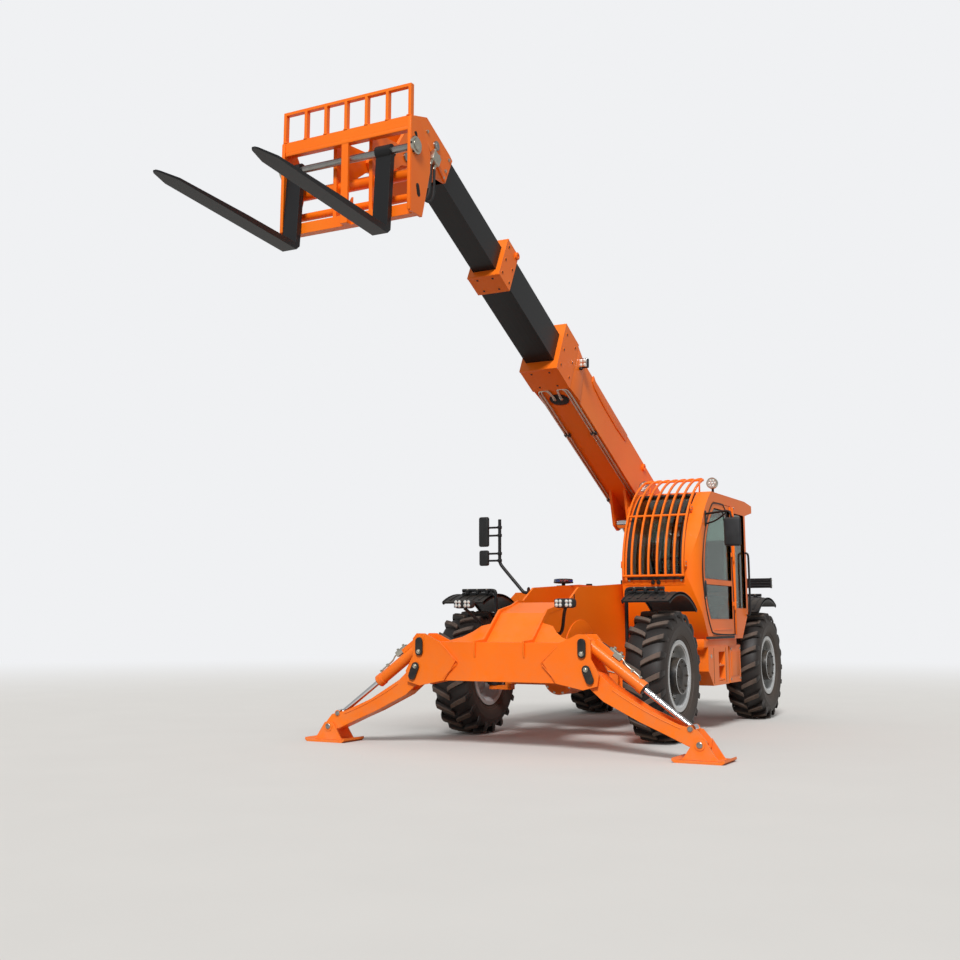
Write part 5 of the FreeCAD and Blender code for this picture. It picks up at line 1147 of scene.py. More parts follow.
def make_cab_inside():
    middle = (CAB_IN + CAB_OUT) / 2
    piece = Piece("cab_console", MIDDLE)
    # Display on the console, the joystick and the mat.
    screen = at(0.56, middle - 0.13, FLOOR + 0.76) @ Matrix.Rotation(math.radians(-35), 4, "Y")
    piece.put(slab(0.02, 0.17, 0.11, 0.008), PLASTIC, screen)
    piece.put(slab(0.004, 0.145, 0.085, 0.001), SHADE_AND_SCREEN_BLACK, screen @ at(-0.011, 0, 0))
    stick = [(-0.28, middle - 0.3, FLOOR + 0.6), (-0.27, middle - 0.3, FLOOR + 0.66),
             (-0.25, middle - 0.3, FLOOR + 0.72)]
    piece.put(pipe(stick, 0.014), RUBBER)
    knob = turned(((0, 0.09), (0.016, 0.086), (0.024, 0.06), (0.02, 0.02), (0.016, 0), (0, 0)), 20)
    piece.put(knob, PLASTIC, at(-0.25, middle - 0.3, FLOOR + 0.7))
    piece.put(slab(0.42, 0.1, 0.05, 0.015), PLASTIC, at(-0.34, middle - 0.3, FLOOR + 0.575))
    piece.put(slab(0.36, 0.06, 0.47, 0.01), PLASTIC, at(-0.34, middle - 0.315, FLOOR + 0.31))
    piece.put(slab(1.3, 0.68, 0.012, 0.004), RUBBER, at(-0.1, middle, FLOOR + 0.066))
    return piece.done("chassis", "black_plastic")


def make_cab(fittings):
    make_cab_seals(fittings)
    make_cab_trim(fittings)
    make_guard_loops()
    make_wipers()
    make_door_trim()
    make_seat()
    make_cab_inside()


# Lamps, beacon and mirrors


def diodes(piece, place, spots):
    """Small domed lenses over diodes; the domes take the finish with a painted glow."""
    dome = ((0, 0.007), (0.007, 0.0055), (0.0115, 0.002), (0.0125, 0), (0, 0))
    cup = ((0.0, 0.0), (0.0145, 0.0), (0.0165, 0.003), (0.0155, 0.004), (0.0, 0.001))
    for y, z in spots:
        piece.put(turned(cup, 20), REFLECTOR, place @ facing((0, y, z), (1, 0, 0)))
        piece.put(turned(dome, 20), DIODE, place @ facing((0.0015, y, z), (1, 0, 0)))


def make_head_lamps(fittings):
    piece = Piece("head_lamps", MIDDLE)
    stalk = [(2.48, 0.249, 1.0), (2.48, 0.32, 1.0), (2.49, 0.35, 1.006), (2.54, 0.395, 1.052),
             (2.69, 0.475, 1.19), (2.735, 0.51, 1.232)]
    for half in BOTH:
        piece.put(pipe(stalk, 0.0155), BLACK, half)
        foot = half @ facing((2.48, FRAME_SIDE - 0.0005, 1.0), (0, 1, 0))
        piece.put(plate(rounded_slot(0.1, 0.05), 0.008), BLACK, foot)
        piece.put(bolt(fittings.small_bolt), ZINC, foot @ at(0, 0.034, 0.008),
                  foot @ at(0, -0.034, 0.008))
        shell = half @ at(2.737, 0.51, 1.2725)
        piece.put(slab(0.078, 0.2, 0.085, 0.032, 4), PLASTIC, shell)
        for y in (-0.048, 0.048):
            face = shell @ at(0.0385, y, 0)
            piece.put(slab(0.006, 0.082, 0.07, 0.0028, 3), PLASTIC, face)
            diodes(piece, face @ at(0.003, 0, 0), [(sy * 0.018, sz * 0.0165) for sy in (-1,
                                                                                        1) for sz in (-1,
                                                                                                      1)])
            for fin in range(5):
                piece.put(slab(0.014, 0.07, 0.004, 0.001), PLASTIC,
                          shell @ at(-0.042, y, -0.028 + fin * 0.014))
    # Work lamps on the cab's roof, tilted up a little.
    for y in (0.3, 1.07):
        piece.put(pipe([(0.06, y, 2.468), (0.06, y, 2.51), (0.058, y, 2.55)], 0.013), BLACK)
        piece.put(slab(0.05, 0.05, 0.008, 0.002), BLACK, at(0.06, y, 2.474))
        face = at(0.025, y, 2.578) @ Matrix.Rotation(math.radians(-6), 4, "Y")
        can = ((0, 0), (0.04, 0), (0.052, 0.008), (0.0605, 0.03), (0.0605, 0.066), (0.056, 0.07),
               (0.052, 0.066),
               (0, 0.062))
        piece.put(turned(can, 36), ZINC, face @ facing((0, 0, 0), (1, 0, 0)))
        ring = [(0.03 * math.cos(a), 0.03 * math.sin(a)) for a in (math.tau * i / 6 for i in range(6))] + [(0, 0)]
        diodes(piece, face @ at(0.0625, 0, 0), [(a * 1.05, b * 1.05) for a, b in ring])
    # Tail lamps at the ends of the rear bar.
    for side in (1, -1):
        shell = at(-2.575, side * 0.87, 1.59)
        piece.put(slab(0.03, 0.18, 0.07, 0.008, 3), PLASTIC, shell)
        for y, tone in ((-0.056, RED_LENS), (0.0, AMBER_LENS), (0.056, LENS)):
            piece.put(slab(0.012, 0.05, 0.054, 0.004, 3), tone, shell @ at(-0.0155, side * y * -1, 0))
    # Flat beacon on its post at the right.
    base = at(0.935, -0.31, 1.39)
    piece.put(slab(0.04, 0.08, 0.028, 0.003), BLACK, at(0.935, -0.29, 1.445))
    piece.put(drum(0.0195, 0.07, 20), BLACK, base @ at(0, 0, 0.055))
    piece.put(turned(((0, 0.115), (0.06, 0.115), (0.1, 0.12), (0.104, 0.126), (0.104, 0.134), (0, 0.134)),
                     48),
              PLASTIC, base)
    tower = ((0, 0.134), (0.03, 0.134), (0.03, 0.156), (0, 0.156))
    for spot, tone in (((0.05, 0.04), RED_LENS), ((-0.05, 0.04), BLUE_LENS),
                       ((0.05, -0.04), BLUE_LENS), ((-0.05, -0.04), RED_LENS)):
        piece.put(turned(tower, 16), tone, base @ at(*spot, 0))
    dome = ((0.096, 0.134), (0.1, 0.136), (0.101, 0.155), (0.094, 0.163), (0.05, 0.168), (0, 0.169),
            (0, 0.165),
            (0.05, 0.164), (0.092, 0.159), (0.096, 0.153))
    piece.put(turned(dome, 48), LENS, base)
    return piece.done("chassis", "black_plastic", "lamps")


def make_mirrors(fittings):
    piece = Piece("mirror_set", MIDDLE)
    # Stalk on the frame's right, with two mirrors on short arms.
    stalk = [(1.9, -0.25, 1.39), (1.9, -0.285, 1.39), (1.9, -0.31, 1.395), (1.9, -0.345, 1.435),
             (1.9, -0.53, 1.635),
             (1.9, -0.57, 1.685), (1.9, -0.571, 1.74), (1.9, -0.57, 2.12)]
    piece.put(pipe(stalk, 0.0165), BLACK)
    foot = facing((1.9, -0.2495, 1.39), (0, -1, 0))
    piece.put(plate(rounded_slot(0.11, 0.06), 0.008), BLACK, foot)
    piece.put(bolt(fittings.small_bolt), ZINC, foot @ at(0, 0.036, 0.008), foot @ at(0, -0.036, 0.008))
    for z in (2.04, 1.96, 1.78, 1.71):
        piece.put(pipe([(1.9, -0.562, z), (1.9, -0.63, z), (1.9, -0.7, z)], 0.0105), BLACK)
        piece.put(drum(0.023, 0.03, 20, 0.004), BLACK, at(1.9, -0.57, z - 0.015))
    shells = ((1.9025, -0.745, 2.0, 0.045, 0.11, 0.3), (1.9025, -0.7425, 1.7375, 0.045, 0.105, 0.155))
    for x, y, z, deep, wide, high in shells:
        piece.put(slab(deep, wide, high, 0.02, 4), PLASTIC, at(x, y, z))
        piece.put(slab(0.003, wide - 0.02, high - 0.02, 0.001), MIRROR_GLASS, at(x - deep / 2, y, z))
    # Mirror on the cab's left front pillar, on two thin arms.
    arm = [(0.55, 1.13, 2.215), (0.55, 1.15, 2.215), (0.56, 1.175, 2.216), (0.7, 1.36, 2.218),
           (0.74, 1.42, 2.217),
           (0.75, 1.456, 2.2), (0.75, 1.46, 2.14)]
    piece.put(pipe(arm, 0.0115), BLACK)
    piece.put(pipe([(0.555, 1.13, 2.11), (0.57, 1.17, 2.112), (0.66, 1.3, 2.14), (0.725, 1.4, 2.2)],
                   0.009), BLACK)
    piece.put(plate(rounded_slot(0.17, 0.05), 0.008), BLACK, facing((0.553, 1.1295, 2.163), (0, 1, 0)))
    piece.put(slab(0.05, 0.17, 0.29, 0.024, 4), PLASTIC, at(0.755, 1.47, 2.005))
    piece.put(slab(0.003, 0.146, 0.266, 0.001), MIRROR_GLASS, at(0.7302, 1.47, 2.005))
    return piece.done("chassis", "black_plastic", "mirrors")


# The nose, the outriggers and the boxes


# The outrigger beam's face, half the width over the frame's side plates, and the boxes' outer side.
BEAM_FRONT, FRAME_SIDE, BOX_SIDE, HOOD_SIDE = 3.03, 0.25, 1.1105, 1.12


def keeper(piece, place, turn):
    """A black lock plate with one bolt, that covers a pin's end and keeps it from turning."""
    lie = place @ Matrix.Rotation(math.radians(turn), 4, "Z")
    piece.put(plate(rounded_slot(0.165, 0.074), 0.011, 0.003), BLACK, lie @ at(0, 0.042, 0))
    piece.put(turned(((0, 0.004), (0.021, 0.004), (0.021, 0), (0, 0)), 24), ZINC,
              lie @ at(0, 0.088, 0.011))
    piece.put(bolt(0.028), ZINC, lie @ at(0, 0.088, 0.014))


def make_nose():
    piece = Piece("nose_trim", MIDDLE)
    for half in BOTH:
        for y, z, turn in ((0.87, 0.63, 22), (0.8, 0.93, 180)):
            keeper(piece, half @ facing((BEAM_FRONT + 0.032, y, z), (1, 0, 0)), turn)
        # Weld beads where the beam's end plates meet it, and its corner gussets.
        for y, z, length, turn in ((0.49, 0.83, 0.22, 43), (0.49, 0.675, 0.2, -45)):
            bead = half @ at(BEAM_FRONT + 0.019, y, z) @ Matrix.Rotation(math.radians(turn), 4, "X")
            piece.put(slab(0.008, length, 0.008, 0.0035), ORANGE, bead)
        # Lips beside the slope, that run on as ribs down the beam's face.
        for outline, thick in ((((2.17, 1.24), (2.53, 1.18), (2.83, 0.92), (3.03, 0.92), (3.03, 0.945),
                                 (2.88, 0.955),
                                 (2.86, 0.965), (2.555, 1.22), (2.19, 1.285)), 0.02),
                               (((3.029, 0.945), (3.029, 0.8), (3.034, 0.8), (3.05, 0.86), (3.05, 0.945)),
                                0.018)):
            rib = half @ at(0, 0.252, 0) @ UPRIGHT
            piece.put(plate(outline, thick), ORANGE, rib)
        # Wing plates from the nose's sides out over the beam, with a scooped edge.
        wing = plate([(0.249, 0), (0.62, 0), (0.6, 0.025), (0.5, 0.07), (0.42, 0.14), (0.36, 0.22),
                      (0.249, 0.26)],
                     0.012)
        piece.put(wing, ORANGE, half @ axes((2.835, 0, 0.92), (0, 1, 0), (-0.3, 0, 0.26)))
        # A slot near the top step, and an arched plate over the axle.
        # Painted shade: the slot is a dark sheet laid on the side plate, standing for the shade inside it.
        slot = half @ facing((1.94, 0.2498, 1.33), (0, 1, 0), 8)
        piece.put(plate(rounded_slot(0.085, 0.022), 0.002), SHADE_AND_SCREEN_BLACK, slot)
        arch = [(1.8 + 0.43 * math.cos(a), 0.7 + 0.43 * math.sin(a))
                for a in (math.radians(d) for d in range(40, 141, 10))]
        piece.put(plate(arch + [(1.46, 0.93), (2.14, 0.93)], 0.006), ORANGE,
                  half @ at(0, 0.2495, 0) @ UPRIGHT_LEFT)
    return piece.done("chassis", "orange_paint")


def make_hitch():
    piece = Piece("tow_pin", MIDDLE)
    top = at(-2.605, 0, 0)
    piece.put(drum(0.0185, 0.16, 24), ZINC, top @ at(0, 0, 0.565))
    piece.put(drum(0.032, 0.012, 24), ZINC, top @ at(0, 0, 0.7))
    loop = [(0.0, 0.0, 0.71), (0.0, 0.03, 0.722), (0.0, 0.03, 0.76), (0.0, 0.0, 0.772),
            (0.0, -0.03, 0.76),
            (0.0, -0.03, 0.722), (0.0, 0.0, 0.71)]
    piece.put(pipe(loop, 0.005), ZINC, top)
    return piece.done("chassis", "pin_steel")


def outrigger_frames(side):
    """The frames of an arm and its cylinder: Y runs from the pin to the far end, Z is above."""
    name = "left" if side == 1 else "right"
    root, foot = pin(f"outrigger_{name}"), pin(f"foot_pad_swivel_{name}")
    eye = Vector(JOINTS[f"outrigger_stroke_{name}"]["axis"])
    arm = foot - root
    frames = []
    for base, along in ((root, arm.normalized()), (pin(f"outrigger_swing_{name}"), eye.normalized())):
        up = Vector((1, 0, 0)).cross(along) * (1 if side == 1 else -1)
        turned_to = Matrix((Vector((1, 0, 0)), along, up)).transposed()
        frames.append(Matrix.Translation(base) @ turned_to.to_4x4())
    return name, arm.length, frames[0], frames[1]


def make_outriggers():
    for side in (1, -1):
        name, reach, arm, jack = outrigger_frames(side)
        trim = Piece(f"outrigger_trim_{name}", arm)
        cap = ((0, 0.006), (0.018, 0.006), (0.023, 0.002), (0.025, -0.003), (0, -0.003))
        for front in (1, -1):
            trim.put(turned(cap, 24), STEEL, facing((front * 0.0865, reach - 0.13, 0.066), (front, 0, 0)))
            rib = [(front * 0.0825, 0.2, 0.012), (front * 0.0825, reach * 0.5, -0.015),
                   (front * 0.0825, reach - 0.2, 0.03)]
            trim.put(pipe(rib, 0.0045, 2), ORANGE)
        trim.done(f"outrigger_arm_{name}", "orange_paint")
        ram = Piece(f"outrigger_ram_{name}", jack)
        # Valve block, its plugs and the steel pipe down to the gland.
        ram.put(slab(0.055, 0.13, 0.05, 0.004), ZINC, at(0, 0.26, 0.083))
        for y in (0.225, 0.295):
            ram.put(drum(0.013, 0.02, 6, 0.001), ZINC, at(0, y, 0.107))
        line = [(0.012, 0.325, 0.085), (0.012, 0.35, 0.085), (0.012, 0.375, 0.07), (0.012, 0.4, 0.064),
                (0.012, 0.48, 0.063), (0.012, 0.53, 0.063), (0.012, 0.55, 0.05)]
        ram.put(pipe(line, 0.007), ZINC)
        ram.put(drum(0.012, 0.024, 6, 0.001), ZINC, at(0.012, 0.55, 0.046))
        ram.put(slab(0.03, 0.02, 0.03, 0.003), ZINC, at(0.012, 0.46, 0.062))
        feed = [(-0.012, 0.07, 0.05), (-0.012, 0.09, 0.075), (-0.012, 0.13, 0.086), (-0.012, 0.2, 0.085)]
        ram.put(pipe(feed, 0.009), RUBBER)
        ring = ((0.0265, 0), (0.05, 0), (0.053, 0.002), (0.053, 0.006), (0.046, 0.009), (0.0265, 0.009))
        ram.put(turned(ring, 36, closed=True), BLACK, at(0, 0.624, 0) @ Matrix.Rotation(-math.pi / 2, 4,
                                                                                        "X"))
        weld = turned([(0.054 + 0.004 * math.cos(a), 0.004 * math.sin(a)) for a in
                       (math.tau * i / 8 for i in range(8))], 36, closed=True)
        ram.put(weld, ORANGE, at(0, 0.574, 0) @ Matrix.Rotation(-math.pi / 2, 4, "X"))
        ram.done(f"outrigger_barrel_{name}", "pin_steel")
        pad = Piece(f"foot_pad_trim_{name}")
        middle = pin(f"foot_pad_swivel_{name}")
        for front in (1, -1):
            face = facing((middle.x + front * 0.106, middle.y, middle.z), (front, 0, 0))
            pad.put(turned(((0, 0.016), (0.02, 0.016), (0.0255, 0.012), (0.0255, 0), (0, 0)), 24), STEEL,
                    face)
            pad.put(turned(((0.0245, 0), (0.044, 0), (0.044, 0.006), (0.0245, 0.006)), 28, closed=True),
                    ORANGE, face)
            bead = slab(0.008, 0.3, 0.008, 0.0035)
            pad.put(bead, ORANGE, at(middle.x + front * 0.108, middle.y, 0.024))
        pad.done(f"foot_pad_{name}", "orange_paint")


def make_lift_ram():
    """Wiper ring, ports and pipe of the boom's lift cylinder."""
    piece = Piece("lift_ram_trim", axes(pin("lift_swing"), JOINTS["lift_stroke"]["axis"], (0, 1, 0)))
    ring = ((0.0465, 0), (0.088, 0), (0.091, 0.008), (0.091, 0.02), (0.07, 0.028), (0.049, 0.028))
    piece.put(turned(ring, 48, closed=True), BLACK, facing((1.4485, 0, 0), (1, 0, 0)))
    line = [(0.2, 0.04, 0.082), (0.24, 0.04, 0.1), (0.4, 0.04, 0.1), (1.2, 0.04, 0.1), (1.34, 0.04, 0.1),
            (1.37, 0.04, 0.088)]
    piece.put(pipe(line, 0.009), ZINC)
    piece.put(slab(0.08, 0.07, 0.05, 0.005), ZINC, at(0.2, 0.02, 0.1))
    for x in (0.6, 1.0):
        piece.put(slab(0.03, 0.03, 0.026, 0.004), PLASTIC, at(x, 0.04, 0.094))
    return piece.done("lift_barrel", "pin_steel")


def make_boxes(fittings):
    piece = Piece("box_trim", MIDDLE)
    side = BOX_SIDE
    # Step well: two treads and their studs.
    for z in (0.512, 0.66):
        piece.put(slab(0.212, 0.16, 0.016, 0.004), ORANGE, at(0.05, 1.025, z))
        for x in range(5):
            for y in range(3):
                piece.put(drum(0.008, 0.006, 8, 0.001), ZINC, at(-0.03 + x * 0.04, 0.975 + y * 0.045,
                                                                 z + 0.007))
    # Skirt that closes the gap up to the cab's floor, at the side and in front.
    piece.put(slab(1.14, 0.012, 0.084, 0.003), ORANGE, at(0.06, 1.1, 0.894))
    piece.put(slab(0.012, 0.79, 0.084, 0.003), ORANGE, at(0.63, 0.71, 0.894))
    # Panel lines and lock of the box's lid, and four bolts round a plate.
    for x, z, wide, high in ((0.335, 0.66, 0.004, 0.36), (-0.095, 0.66, 0.004, 0.36)):
        piece.put(slab(wide, 0.003, high, 0), SHADE_AND_SCREEN_BLACK, at(x, side, z))
    lock = facing((0.42, side - 0.001, 0.76), (0, 1, 0))
    piece.put(turned(((0, 0.007), (0.012, 0.007), (0.015, 0.004), (0.022, 0.003), (0.022, 0), (0, 0)),
                     20), ZINC, lock)
    piece.put(bolt(fittings.small_bolt), ZINC, *spots((-0.68, -0.34), 1.09, (0.5, 0.82), 1))
    piece.put(slab(0.3, 0.006, 0.26, 0.0025), ORANGE, at(-0.51, 1.092, 0.66))
    # Filler cap on the rear box.
    cap = ((0, 0.03), (0.034, 0.03), (0.04, 0.024), (0.042, 0.0), (0, 0))
    piece.put(turned(cap, 28), PLASTIC, facing((-0.62, 0.95, 0.859), (0, 0, 1)))
    return piece.done("chassis", "orange_paint")


def make_hood(fittings):
    piece = Piece("hood_trim", MIDDLE)
    out = -HOOD_SIDE
    for x in (0.38, 0.72):
        catch = facing((x, out, 0.82), (0, -1, 0))
        piece.put(plate(rounded_slot(0.09, 0.04), 0.006), BLACK, catch)
        piece.put(slab(0.016, 0.06, 0.012, 0.004), ZINC, catch @ at(0, 0, 0.01))
    handle = [(0.5, out, 1.14), (0.5, out - 0.02, 1.14), (0.52, out - 0.03, 1.14),
              (0.6, out - 0.03, 1.14),
              (0.62, out - 0.02, 1.14), (0.62, out, 1.14)]
    piece.put(pipe(handle, 0.008), BLACK)
    piece.put(bolt(fittings.small_bolt), ZINC, *spots((-0.79, 0.79), out, (0.84, 1.14), -1))
    # Air intake cap and exhaust stub on the hood's top.
    piece.put(turned(((0, 0.09), (0.05, 0.088), (0.075, 0.07), (0.08, 0.03), (0.06, 0.02), (0.05, 0),
                      (0, 0)), 32),
              PLASTIC, at(0.3, -0.62, 1.418))
    piece.put(drum(0.036, 0.13, 28), IRON, at(-0.45, -0.6, 1.415))
    return piece.done("hood", "orange_paint")


def make_rear_bar(fittings):
    piece = Piece("rear_bar_trim", MIDDLE)
    for z in (1.556, 1.59, 1.624):
        piece.put(slab(0.006, 1.46, 0.012, 0.0025), BLACK, at(-2.562, 0, z))
        piece.put(slab(0.006, 0.9, 0.012, 0.0025), BLACK, at(-2.498, 0.54, z), at(-2.498, -0.54, z))
    for side in (1, -1):
        piece.put(slab(0.07, 0.008, 0.13, 0.003), BLACK, at(-2.53, side * 1.0, 1.59))
        piece.put(bolt(fittings.small_bolt), ZINC, *spots((-2.53,), side * 1.004, (1.555, 1.625), side))
    return piece.done("chassis", "black_paint")


def make_running_gear():
    """Bolts, covers and brake lines on the axles."""
    piece = Piece("axle_trim")
    for wheel in ("front_left", "rear_left"):
        x, z = pin(f"roll_{wheel}").x, pin(f"roll_{wheel}").z
        end = 1 if wheel.startswith("front") else -1
        face = facing((x + end * 0.17, 0, z - 0.04), (end, 0, 0))
        cover = ((0, 0.05), (0.05, 0.048), (0.1, 0.03), (0.13, 0.006), (0.15, 0.004), (0.15, 0), (0, 0))
        piece.put(turned(cover, 40), ORANGE, face)
        for step in range(10):
            angle = math.tau * step / 10
            piece.put(bolt(0.02), ZINC, face @ at(0.141 * math.cos(angle), 0.141 * math.sin(angle),
                                                  0.003))
        for side in (1, -1):
            top = at(x, side * 0.78, z + 0.171)
            piece.put(turned(((0, 0.02), (0.036, 0.018), (0.044, 0.01), (0.056, 0.008), (0.056, 0),
                              (0, 0)), 28),
                      ORANGE, top)
            line = [(x + 0.112, side * 0.1, z + 0.05), (x + 0.125, side * 0.3, z + 0.052),
                    (x + 0.118, side * 0.5, z + 0.04),
                    (x + 0.112, side * 0.56, z + 0.02)]
            piece.put(pipe(line, 0.006), ZINC)
    return piece.done("chassis", "orange_paint")


# The stage


# Where the photograph was taken from, from the middle of the wheelbase, its yaw, pitch and roll
# in degrees, and how far its frame is shifted up for the caption's strip.
CAMERA_PLACE = (12.42534, 4.81582, 1.11974)
CAMERA_TURNS = (28.0584, 9.312, 0.05)
CAMERA_SHIFT = -53 / 960


def make_camera(stage):
    """The camera stands where the photograph was taken from, ahead of the machine on its left."""
    yaw, pitch, roll = (math.radians(turn) for turn in CAMERA_TURNS)
    ahead = Vector((-math.cos(yaw) * math.cos(pitch), -math.sin(yaw) * math.cos(pitch), math.sin(pitch)))
    right = ahead.cross(Vector((0, 0, 1))).normalized()
    up = right.cross(ahead)
    across = right * math.cos(roll) + up * math.sin(roll)
    upright = up * math.cos(roll) - right * math.sin(roll)
    data = bpy.data.cameras.new("Camera")
    data.lens = stage.lens
    data.sensor_width = 36
    data.shift_y = CAMERA_SHIFT
    data.clip_end = 300
    camera = bpy.data.objects.new("Camera", data)
    bpy.context.scene.collection.objects.link(camera)
    turned_to = Matrix((across, upright, -ahead)).transposed().to_4x4()
    camera.matrix_world = MIDDLE @ at(*CAMERA_PLACE) @ turned_to
    bpy.context.scene.camera = camera


def make_floor(stage):
    """A wide floor whose far part takes the backdrop's colour, so that no line shows where it ends."""
    shape = bmesh.new()
    bmesh.ops.create_grid(shape, x_segments=1, y_segments=1, size=150)
    mesh = bpy.data.meshes.new("Floor")
    shape.to_mesh(mesh)
    shape.free()
    item = bpy.data.objects.new("Floor", mesh)
    bpy.context.scene.collection.objects.link(item)
    tree, shader, place = started("pale_floor")
    away = add(tree, "VectorMath", {0: place["Object"]}, operation="LENGTH")
    far = add(tree, "MapRange", {"Value": away, "From Min": 7, "From Max": 26},
              interpolation_type="SMOOTHSTEP")
    grain = add(tree, "TexNoise", {"Vector": place["Object"], "Scale": 1 / 0.8, "Detail": 5})
    rays = add(tree, "LightPath").outputs
    shade = add(tree, "Mix", {0: grain, 6: solid(stage.floor),
                              7: solid(part * 0.95 for part in stage.floor)}, data_type="RGBA")
    # Light that the floor throws back up is weaker, as from bare ground, so undersides stay deep.
    feed(tree, shader, {"Base Color": add(tree, "Mix", {0: rays["Is Diffuse Ray"], 6: shade,
                                                        7: tone("8F8577")}, data_type="RGBA"),
                        "Roughness": 0.9})
    glow = add(tree, "Emission", {"Color": solid(stage.backdrop), "Strength": 1.0})
    amount = add(tree, "Math", {0: far, 1: rays["Is Camera Ray"]}, operation="MULTIPLY")
    feed(tree, tree.nodes["Material Output"], {"Surface": add(tree, "MixShader",
                                                              {0: amount, 1: shader, 2: glow})})
    mesh.materials.append(bpy.data.materials["pale_floor"])


# Where the soft sun stands: ahead, a little to the left and high.
SUN_FROM = (0.85, 0.3, 0.8)
SUN_SIZE = math.radians(14)


def make_light(stage):
    world = bpy.data.worlds.new("Studio")
    world.use_nodes = True
    bpy.context.scene.world = world
    tree = world.node_tree
    tree.nodes.clear()
    rays = add(tree, "LightPath").outputs
    through = add(tree, "Math", {0: rays["Is Camera Ray"], 1: rays["Is Transmission Ray"]},
                  operation="MAXIMUM")
    fill = add(tree, "Background", {"Color": (1, 1, 1, 1), "Strength": stage.fill})
    shown = add(tree, "Background", {"Color": solid(stage.backdrop), "Strength": 1.0})
    out = add(tree, "OutputWorld", {"Surface": add(tree, "MixShader", {0: through, 1: fill, 2: shown})})
    out.is_active_output = True
    data = bpy.data.lights.new("Key", "SUN")
    data.energy = stage.key
    data.angle = SUN_SIZE
    lamp = bpy.data.objects.new("Key", data)
    bpy.context.scene.collection.objects.link(lamp)
    lamp.matrix_world = facing((0, 0, 12), SUN_FROM)
    bpy.context.scene.view_settings.view_transform = "Standard"


# The add-on


class TELEHANDLER_OT_stage(bpy.types.Operator):
    """Sets the camera, the pale floor and the soft light"""
    bl_idname = "telehandler.stage"
    bl_label = "Stage"

    def execute(self, context):
        stage = context.scene.telehandler_stage
        make_camera(stage)
        make_floor(stage)
        make_light(stage)
        return {"FINISHED"}


class TELEHANDLER_OT_finishes(bpy.types.Operator):
    """Makes every finish and paints the frame with them"""
    bl_idname = "telehandler.finishes"
    bl_label = "Finishes"

    def execute(self, context):
        make_finishes()
        paint_frame()
        return {"FINISHED"}


class TELEHANDLER_OT_tyres(bpy.types.Operator):
    """Makes the four lugged tyres"""
    bl_idname = "telehandler.tyres"
    bl_label = "Tyres"

    def execute(self, context):
        for wheel in WHEELS:
            make_tyre(wheel, context.scene.telehandler_tyres)
        return {"FINISHED"}


class TELEHANDLER_OT_hubs(bpy.types.Operator):
    """Makes the hubs, rim rings and wheel nuts"""
    bl_idname = "telehandler.hubs"
    bl_label = "Hubs"

    def execute(self, context):
        for wheel in WHEELS:
            make_hub(wheel, context.scene.telehandler_tyres)
        return {"FINISHED"}


class TELEHANDLER_OT_mudguards(bpy.types.Operator):
    """Makes the mudguards' ribs and clamps, and the axles' fittings"""
    bl_idname = "telehandler.mudguards"
    bl_label = "Mudguards and axles"

    def execute(self, context):
        for wheel in WHEELS:
            make_mudguard(wheel, context.scene.telehandler_fittings)
        make_running_gear()
        return {"FINISHED"}


class TELEHANDLER_OT_boom(bpy.types.Operator):
    """Makes the boom's bolts, plates, pipes, work lamp and head fittings"""
    bl_idname = "telehandler.boom"
    bl_label = "Boom"

    def execute(self, context):
        make_boom(context.scene.telehandler_fittings)
        make_lift_ram()
        return {"FINISHED"}


class TELEHANDLER_OT_carriage(bpy.types.Operator):
    """Makes the fork carriage's flanges, trim and shaft nuts, and the nose pin's end caps"""
    bl_idname = "telehandler.carriage"
    bl_label = "Fork carriage"

    def execute(self, context):
        make_carriage()
        make_nose_pin()
        return {"FINISHED"}


class TELEHANDLER_OT_cab(bpy.types.Operator):
    """Makes the cab's seals, trim, wipers, door handle, seat and console"""
    bl_idname = "telehandler.cab"
    bl_label = "Cab"

    def execute(self, context):
        make_cab(context.scene.telehandler_fittings)
        return {"FINISHED"}


class TELEHANDLER_OT_lamps(bpy.types.Operator):
    """Makes the lamps, the beacon and the mirrors"""
    bl_idname = "telehandler.lamps"
    bl_label = "Lamps and mirrors"

    def execute(self, context):
        make_head_lamps(context.scene.telehandler_fittings)
        make_mirrors(context.scene.telehandler_fittings)
        return {"FINISHED"}


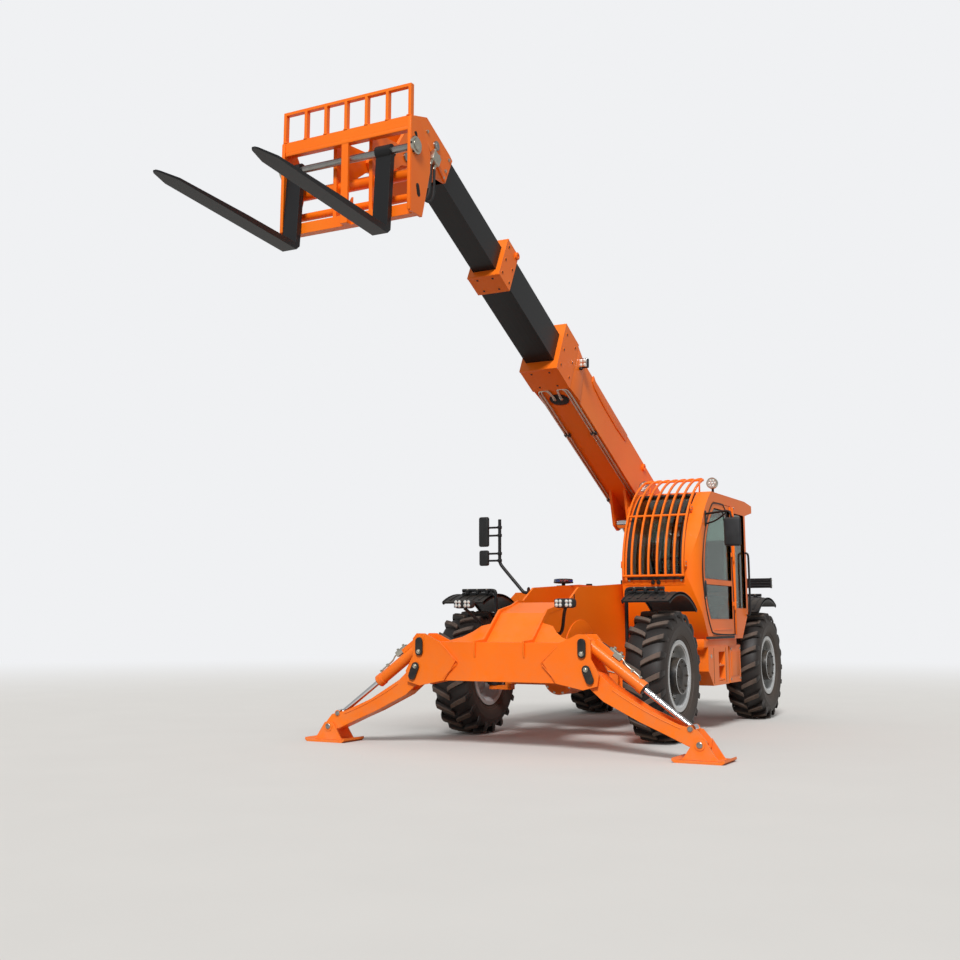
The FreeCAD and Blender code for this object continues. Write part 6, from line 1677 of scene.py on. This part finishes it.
class TELEHANDLER_OT_outriggers(bpy.types.Operator):
    """Makes the outriggers' pins, valve blocks and pipes"""
    bl_idname = "telehandler.outriggers"
    bl_label = "Outriggers"

    def execute(self, context):
        make_outriggers()
        return {"FINISHED"}


class TELEHANDLER_OT_frame_trim(bpy.types.Operator):
    """Makes the fittings of the nose, boxes, hood, rear bar and tow jaw"""
    bl_idname = "telehandler.frame_trim"
    bl_label = "Frame trim"

    def execute(self, context):
        fittings = context.scene.telehandler_fittings
        make_nose()
        make_boxes(fittings)
        make_hood(fittings)
        make_rear_bar(fittings)
        make_hitch()
        return {"FINISHED"}


OPERATORS = (
    TELEHANDLER_OT_stage, TELEHANDLER_OT_finishes, TELEHANDLER_OT_tyres, TELEHANDLER_OT_hubs,
    TELEHANDLER_OT_mudguards, TELEHANDLER_OT_boom, TELEHANDLER_OT_carriage, TELEHANDLER_OT_cab,
    TELEHANDLER_OT_lamps, TELEHANDLER_OT_outriggers, TELEHANDLER_OT_frame_trim,
)
GROUPS = (
    ("telehandler_paint", TelehandlerPaint), ("telehandler_tyres", TelehandlerTyres),
    ("telehandler_fittings", TelehandlerFittings), ("telehandler_stage", TelehandlerStage),
)


class TELEHANDLER_PT_panel(bpy.types.Panel):
    """Lists the telehandler's sizes, colours and pieces"""
    bl_idname = "TELEHANDLER_PT_panel"
    bl_label = "Telehandler"
    bl_space_type = "VIEW_3D"
    bl_region_type = "UI"
    bl_category = "Telehandler"

    def draw(self, context):
        for name, group in GROUPS:
            box = self.layout.box()
            for field in group.__annotations__:
                box.prop(getattr(context.scene, name), field)
        for operator in OPERATORS:
            self.layout.operator(operator.bl_idname)


def register():
    for name, group in GROUPS:
        bpy.utils.register_class(group)
        setattr(bpy.types.Scene, name, PointerProperty(type=group))
    for item in OPERATORS + (TELEHANDLER_PT_panel,):
        bpy.utils.register_class(item)


def unregister():
    for item in reversed(OPERATORS + (TELEHANDLER_PT_panel,)):
        bpy.utils.unregister_class(item)
    for name, group in reversed(GROUPS):
        delattr(bpy.types.Scene, name)
        bpy.utils.unregister_class(group)


def main():
    register()
    for item in OPERATORS:
        getattr(bpy.ops.telehandler, item.bl_idname.split(".")[1])()


if __name__ == "__main__":
    main()
